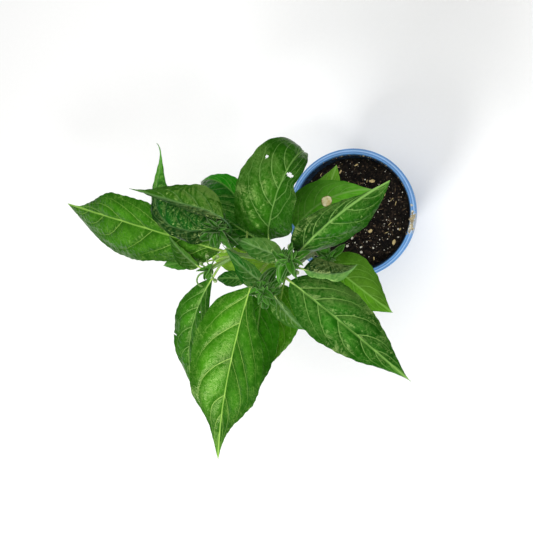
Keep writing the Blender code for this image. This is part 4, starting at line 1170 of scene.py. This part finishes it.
def soil_body(reach):
    """The body of mix that fills the pot, with relief on its top that dies away towards the wall."""
    rings, steps = 90, 260
    profile = [(reach, SOIL_LEVEL), (reach - 4 * MM, SOIL_LEVEL - 20 * MM), (SOIL_FOOT, SOIL_LOW.z),
               (0, SOIL_LOW.z), (0, SOIL_LEVEL)]
    profile += [(reach * i / rings, SOIL_LEVEL) for i in range(1, rings)]
    points, faces = turned(profile, steps)
    lifted = []
    for x, y, z in points:
        if z > SOIL_LEVEL - 1 * MM:
            edge = min(1.0, (reach - math.hypot(x, y)) / (4 * MM))
            z += (soil_height(x, y) - SOIL_LEVEL) * edge
        lifted.append((x, y, z))
    return lifted, faces


class CHILLI_OT_soil(bpy.types.Operator):
    """The potting mix, with loose crumbs, perlite and wood chips"""
    bl_idname = "chilli.soil"
    bl_label = "Potting mix"
    bl_options = {"REGISTER", "UNDO"}

    def execute(self, context):
        settings = context.scene.chilli_soil
        reach = (SOIL_HIGH.x - SOIL_LOW.x) / 2
        shell = Shell()
        shell.add(*soil_body(reach))
        peat = peat_mix(settings.colour)
        place_piece("potting_mix", shell.mesh("potting_mix"), [peat], ("soil",), sharp=80)

        rng = random.Random(5)
        form, fine = ball(1), ball(2)

        def somewhere():
            angle = rng.uniform(0, 2 * math.pi)
            return around((reach - 1.5 * MM) * math.sqrt(rng.random()), angle)

        clods = Shell()
        for _ in range(settings.clods):
            x, y = somewhere()
            size = rng.uniform(0.35, 1.0) ** 2 * 1.5 * MM
            add_crumb(clods, form, (x, y, soil_height(x, y) + 0.3 * size),
                      (size, size * rng.uniform(0.5, 1), size * rng.uniform(0.4, 0.9)), rng,
                      slot=rng.choice((0, 0, 0, 1)), rough=0.3)
        place_piece("mix_crumbs", clods.mesh("mix_crumbs"),
                    [peat, rough_matter("bark_crumb", ("#2E241A", "#5A4733"), 1.2 * MM)], sharp=60)

        grains = Shell()
        spots = [(x * MM, y * MM, size * MM, size * ratio * MM) for x, y, size, ratio in PERLITE]
        for _ in range(settings.perlite):
            x, y = somewhere()
            size = rng.uniform(0.25, 0.8) ** 1.6 * MM
            spots.append((x, y, size, size * rng.uniform(0.6, 1)))
        for x, y, size, wide in spots:
            add_crumb(grains, form if size < 0.6 * MM else fine, (x, y, soil_height(x, y) + 0.4 * size),
                      (size, wide, 0.75 * wide), rng, rough=0.12)
        place_piece("perlite", grains.mesh("perlite"),
                    [rough_matter("perlite", ("#E9E6DA", "#C9C3AE"), 0.9 * MM, 0.85)], sharp=60)

        chips = Shell()
        for x, y, long, wide, heading in WOOD_CHIPS:
            points, faces = fine
            shaped = points * np.array([1 + rng.uniform(-0.12, 0.12) for _ in points])[:, None]
            shaped = shaped * np.array((long / 2, wide / 2, 0.6)) * MM
            at = (x * MM, y * MM, soil_height(x * MM, y * MM) + 0.7 * MM)
            chips.add(shaped @ about_z(math.radians(heading)).T + np.array(at), faces)
        for _ in range(LOOSE_FIBRES):
            x, y = somewhere()
            long = rng.uniform(1.2, 3.2) * MM
            add_crumb(chips, form, (x, y, soil_height(x, y) + 0.5 * MM), (long, 0.35 * MM, 0.3 * MM), rng,
                      slot=rng.choice((0, 1, 1, 1)), level=True)
        place_piece("wood_chips", chips.mesh("wood_chips"),
                    [rough_matter("pine_chip", ("#B59B62", "#D3C08C"), 1.5 * MM, 0.8),
                     rough_matter("bark_fibre", ("#4B3B28", "#6D5A3F"), 1.0 * MM, 0.85)], sharp=60)
        return {"FINISHED"}


class CHILLI_OT_stem(bpy.types.Operator):
    """The leaning stem with its fork, side branches and twig, grown together"""
    bl_idname = "chilli.stem"
    bl_label = "Stem"
    bl_options = {"REGISTER", "UNDO"}

    def execute(self, context):
        settings = context.scene.chilli_stem
        rods = []
        for name, stem in STEMS.items():
            route, radii = stem_route(stem)
            far = run_length(route)
            swollen = np.ones(len(route))
            for leaf in LEAVES.values():
                if leaf["stem"] == name:
                    swollen += JOINT_SWELL * np.exp(-((far - leaf["at"] * far[-1]) / JOINT_LENGTH) ** 2)
            shell = Shell()
            shell.add(*tube(route, radii * np.minimum(swollen, MOST_SWOLLEN), 20, ribs=0.035))
            rods.append(linked_object(name, shell.mesh(name + "_rod")))
        join_with(rods[0], rods[1:], "UNION")
        mesh = rods[0].data
        bpy.data.objects.remove(rods[0], do_unlink=True)
        skin = chilli_stem(settings.bark, settings.green)
        place_piece("stem_and_branches", mesh, [skin], ("stem",))
        return {"FINISHED"}


class CHILLI_OT_leaves(bpy.types.Operator):
    """All grown leaves, each a quilted blade on its own stalk"""
    bl_idname = "chilli.leaves"
    bl_label = "Leaves"
    bl_options = {"REGISTER", "UNDO"}

    def execute(self, context):
        settings = context.scene.chilli_leaves
        under = living_leaf("leaf_underside", ("#5E8A3E", "#5E8A3E"), "#98B46A", 0.62, 0.6, vein_width=0.35)
        stalk = leaf_stalk("leaf_stalk", settings.stalk)
        for seed, (name, described) in enumerate(LEAVES.items()):
            leaf = {**LEAF, **described}
            shell = Shell()
            add_blade(shell, leaf, settings.cell, settings.thickness, settings.pucker, seed + 1)
            add_stalk(shell, leaf)
            upper = living_leaf(name.replace("leaf_", "living_leaf_"), leaf["green"], leaf["vein"],
                                leaf["rough"], leaf["clear"], shine=leaf["shine"], tip=leaf["tip"])
            own_stalk = leaf_stalk(name + "_stalk", linear(leaf["stalk"])) if leaf["stalk"] else stalk
            place_piece(name + "_blade", shell.mesh(name), [upper, under, own_stalk], (name,),
                        sharp=60)
        return {"FINISHED"}


def shoot_leaves(shoot, foot, tip, youngest, rng):
    """The leaves of a shoot: the larger ones up its core, then the youngest."""
    grown = []
    for i, heading in enumerate(shoot["leaves"]):
        share = i / (len(shoot["leaves"]) - 1)
        root = foot + (tip - foot) * (0.35 + 0.55 * share)
        grown.append(young_leaf(
            root, heading, 12 + 50 * share, shoot["longest"] * (1 - 0.5 * share),
            roll=rng.uniform(-35, 35), twist=rng.uniform(-40, 40), bow=rng.uniform(-35, 50),
            droop=rng.uniform(35, 85), fold=rng.uniform(38, 60)))
    # The first few hang out to the side that the shoot leans to, and the rest crowd round its tip.
    for i in range(round(youngest * shoot["crowded"])):
        root = foot + (tip - foot) * rng.uniform(0.2, 1.2)
        hangs = i < round(3 * shoot["crowded"])
        size = rng.uniform(14, 19) if hangs else rng.triangular(5, 14, 7)
        heading = rng.gauss(shoot["lean"], 25) if hangs else rng.uniform(0, 360)
        rise = rng.uniform(-15, 20) if hangs else rng.uniform(10, 65)
        grown.append(young_leaf(
            root, heading, rise, size,
            left=rng.uniform(0.2, 0.36) * size, right=rng.uniform(0.2, 0.36) * size,
            roll=rng.uniform(-50, 50), twist=rng.uniform(-50, 50),
            bow=rng.uniform(-60, 60), droop=rng.uniform(20, 110), fold=rng.uniform(15, 55)))
    return grown


def add_bud(shell, root, heading):
    """A flower bud on a stalk that bows out and down."""
    out = level_way(heading)
    up = np.array((0, 0, MM))
    knots = [root, root + out * 3 * MM + up * 2, root + out * 6 * MM + up * 2, root + out * 8 * MM]
    route = spline(knots, np.linspace(0, 3, 13))
    shell.add(*tube(route, np.linspace(0.42, 0.6, 13) * MM, 8), STALK)
    down = route[-1] - route[-2]
    add_pod(shell, route[-1] - unit(down) * 0.5 * MM, down, 1.25 * MM, 1.6 * MM, STALK)
    add_pod(shell, route[-1] + unit(down) * 0.1 * MM, down, 1.35 * MM, 3.2 * MM, BUD, depth=0.1)


def add_spent_stalk(shell, root):
    """The curled stalk that a dropped flower left."""
    knots = np.array([tuple(root / MM)] + SPENT_STALK) * MM
    route = spline(knots, np.linspace(0, len(knots) - 1, 36))
    radii = np.interp(np.linspace(0, 1, 36), (0, 0.75, 0.92, 1), (0.7, 0.62, 0.85, 0.55)) * MM
    shell.add(*tube(route, radii, 12), STALK)


class CHILLI_OT_shoots(bpy.types.Operator):
    """The young growth at the ends of the stems, with flower buds"""
    bl_idname = "chilli.shoots"
    bl_label = "Shoots and buds"
    bl_options = {"REGISTER", "UNDO"}

    def execute(self, context):
        settings = context.scene.chilli_shoots
        beneath = living_leaf("downy_underside", ("#4E7836", "#4E7836"), "#A4BC88", 0.6, 0.2,
                              vein_width=0.12, rim=0.2, shine=0.14)
        stalk = leaf_stalk("young_stalk", linear("#6A8F44"))
        bud = leaf_stalk("flower_bud", settings.bud)
        for seed, (name, shoot) in enumerate(SHOOTS.items(), 40):
            downy = living_leaf(name.replace("shoot", "downy_leaf"), shoot["green"], "#8FB070", 0.45, 0.14,
                                vein_width=0.12, rim=0.2, shine=0.14)
            rng = random.Random(seed)
            point, way, radius = along(STEMS[shoot["stem"]], 1)
            foot = point + way * GAP
            tip = foot + way * CORE
            core = np.linspace(0, 1, 5)[:, None]
            shell = Shell()
            shell.add(*tube(point - way * MM + (tip - point + way * MM) * core,
                            radius * np.array((1, 1.1, 1.1, 0.9, 0.6)), 12), STALK)
            for leaf in shoot_leaves(shoot, foot, tip, settings.youngest, rng):
                add_blade(shell, leaf, YOUNG_CELL, YOUNG_THICKNESS, 1.0, rng.uniform(0, 50))
                s = np.linspace(0, 0.9, 9)
                rib, _, up = midrib(leaf, s)
                thick = (0.45 - 0.35 * s) * MM * leaf["length"] / 14
                shell.add(*tube(rib - up * (thick * 0.5)[:, None], thick, 8), STALK)
            middle = foot + (tip - foot) * 0.5
            for heading in shoot["buds"]:
                add_bud(shell, middle, heading)
            if shoot["stem"] == "twig":
                add_spent_stalk(shell, middle)
            place_piece(name + "_grown", shell.mesh(name), [downy, beneath, stalk, bud], (name,),
                        sharp=60)
        return {"FINISHED"}


class CHILLI_OT_stage(bpy.types.Operator):
    """A pale floor, soft studio light and the camera"""
    bl_idname = "chilli.stage"
    bl_label = "Stage"
    bl_options = {"REGISTER", "UNDO"}

    def execute(self, context):
        settings = context.scene.chilli_stage
        scene = context.scene
        scene.view_settings.view_transform = "Standard"
        mesh = bpy.data.meshes.new("floor")
        mesh.from_pydata([(-2, -2, 0), (2, -2, 0), (2, 2, 0), (-2, 2, 0)], [], [(0, 1, 2, 3)])
        floor = linked_object("floor", mesh)
        # Board, painted matt white: a bright, even ground with a grain of 1 mm that barely shows.
        board, tree, shader = new_material("matt_painted_board", 0.9)
        grain = add(tree, "TexNoise", {"Scale": 900.0, "Detail": 2.0})
        shade = add(tree, "MapRange", {"Value": grain, "To Min": 0.985, "To Max": 1.01})
        tone = add(tree, "Mix", {"Factor": 1.0, MIX_A: settings.floor, MIX_B: shade},
                   data_type="RGBA", blend_type="MULTIPLY")
        tree.links.new(tone.outputs[MIX_OUT], shader.inputs["Base Color"])
        mesh.materials.append(board)

        world = bpy.data.worlds.new("soft_surround")
        world.use_nodes = True
        sky = world.node_tree.nodes["Background"]
        sky.inputs["Color"].default_value = linear("#FFFFFF")
        sky.inputs["Strength"].default_value = settings.sky
        scene.world = world
        for name, place, aim, size, power in LIGHTS:
            lamp = bpy.data.lights.new(name, "AREA")
            lamp.shape = "DISK"
            lamp.size = size
            lamp.energy = power
            light = linked_object(name, lamp)
            light.location = place
            light.rotation_euler = (Vector(aim) - Vector(place)).to_track_quat("-Z", "Y").to_euler()

        lens = bpy.data.cameras.new("camera")
        lens.lens = settings.lens
        lens.sensor_width = 36
        lens.clip_start = 0.01
        camera = linked_object("camera", lens)
        camera.location = CAMERA_PLACE
        camera.rotation_euler = [math.radians(angle) for angle in CAMERA_TURN]
        scene.camera = camera
        return {"FINISHED"}


class CHILLI_PT_panel(bpy.types.Panel):
    """Lists the pieces and their settings"""
    bl_idname = "CHILLI_PT_panel"
    bl_label = "Chilli Plant"
    bl_space_type = "VIEW_3D"
    bl_region_type = "UI"
    bl_category = "Chilli Plant"

    def draw(self, context):
        for step, settings in zip(STEPS, SETTINGS):
            box = self.layout.box()
            group = getattr(context.scene, "chilli_" + step)
            for field in settings.__annotations__:
                box.prop(group, field)
            box.operator("chilli." + step)


STEPS = ("pot", "soil", "stem", "leaves", "shoots", "stage")
SETTINGS = (ChilliPotSettings, ChilliSoilSettings, ChilliStemSettings, ChilliLeafSettings,
            ChilliShootSettings, ChilliStageSettings)
CLASSES = SETTINGS + (CHILLI_OT_pot, CHILLI_OT_soil, CHILLI_OT_stem, CHILLI_OT_leaves, CHILLI_OT_shoots,
                      CHILLI_OT_stage, CHILLI_PT_panel)


def register():
    for made in CLASSES:
        bpy.utils.register_class(made)
    for step, settings in zip(STEPS, SETTINGS):
        setattr(bpy.types.Scene, "chilli_" + step, PointerProperty(type=settings))


def unregister():
    for step in STEPS:
        delattr(bpy.types.Scene, "chilli_" + step)
    for made in reversed(CLASSES):
        bpy.utils.unregister_class(made)


def main():
    register()
    for step in STEPS:
        getattr(bpy.ops.chilli, step)()


if __name__ == "__main__":
    main()
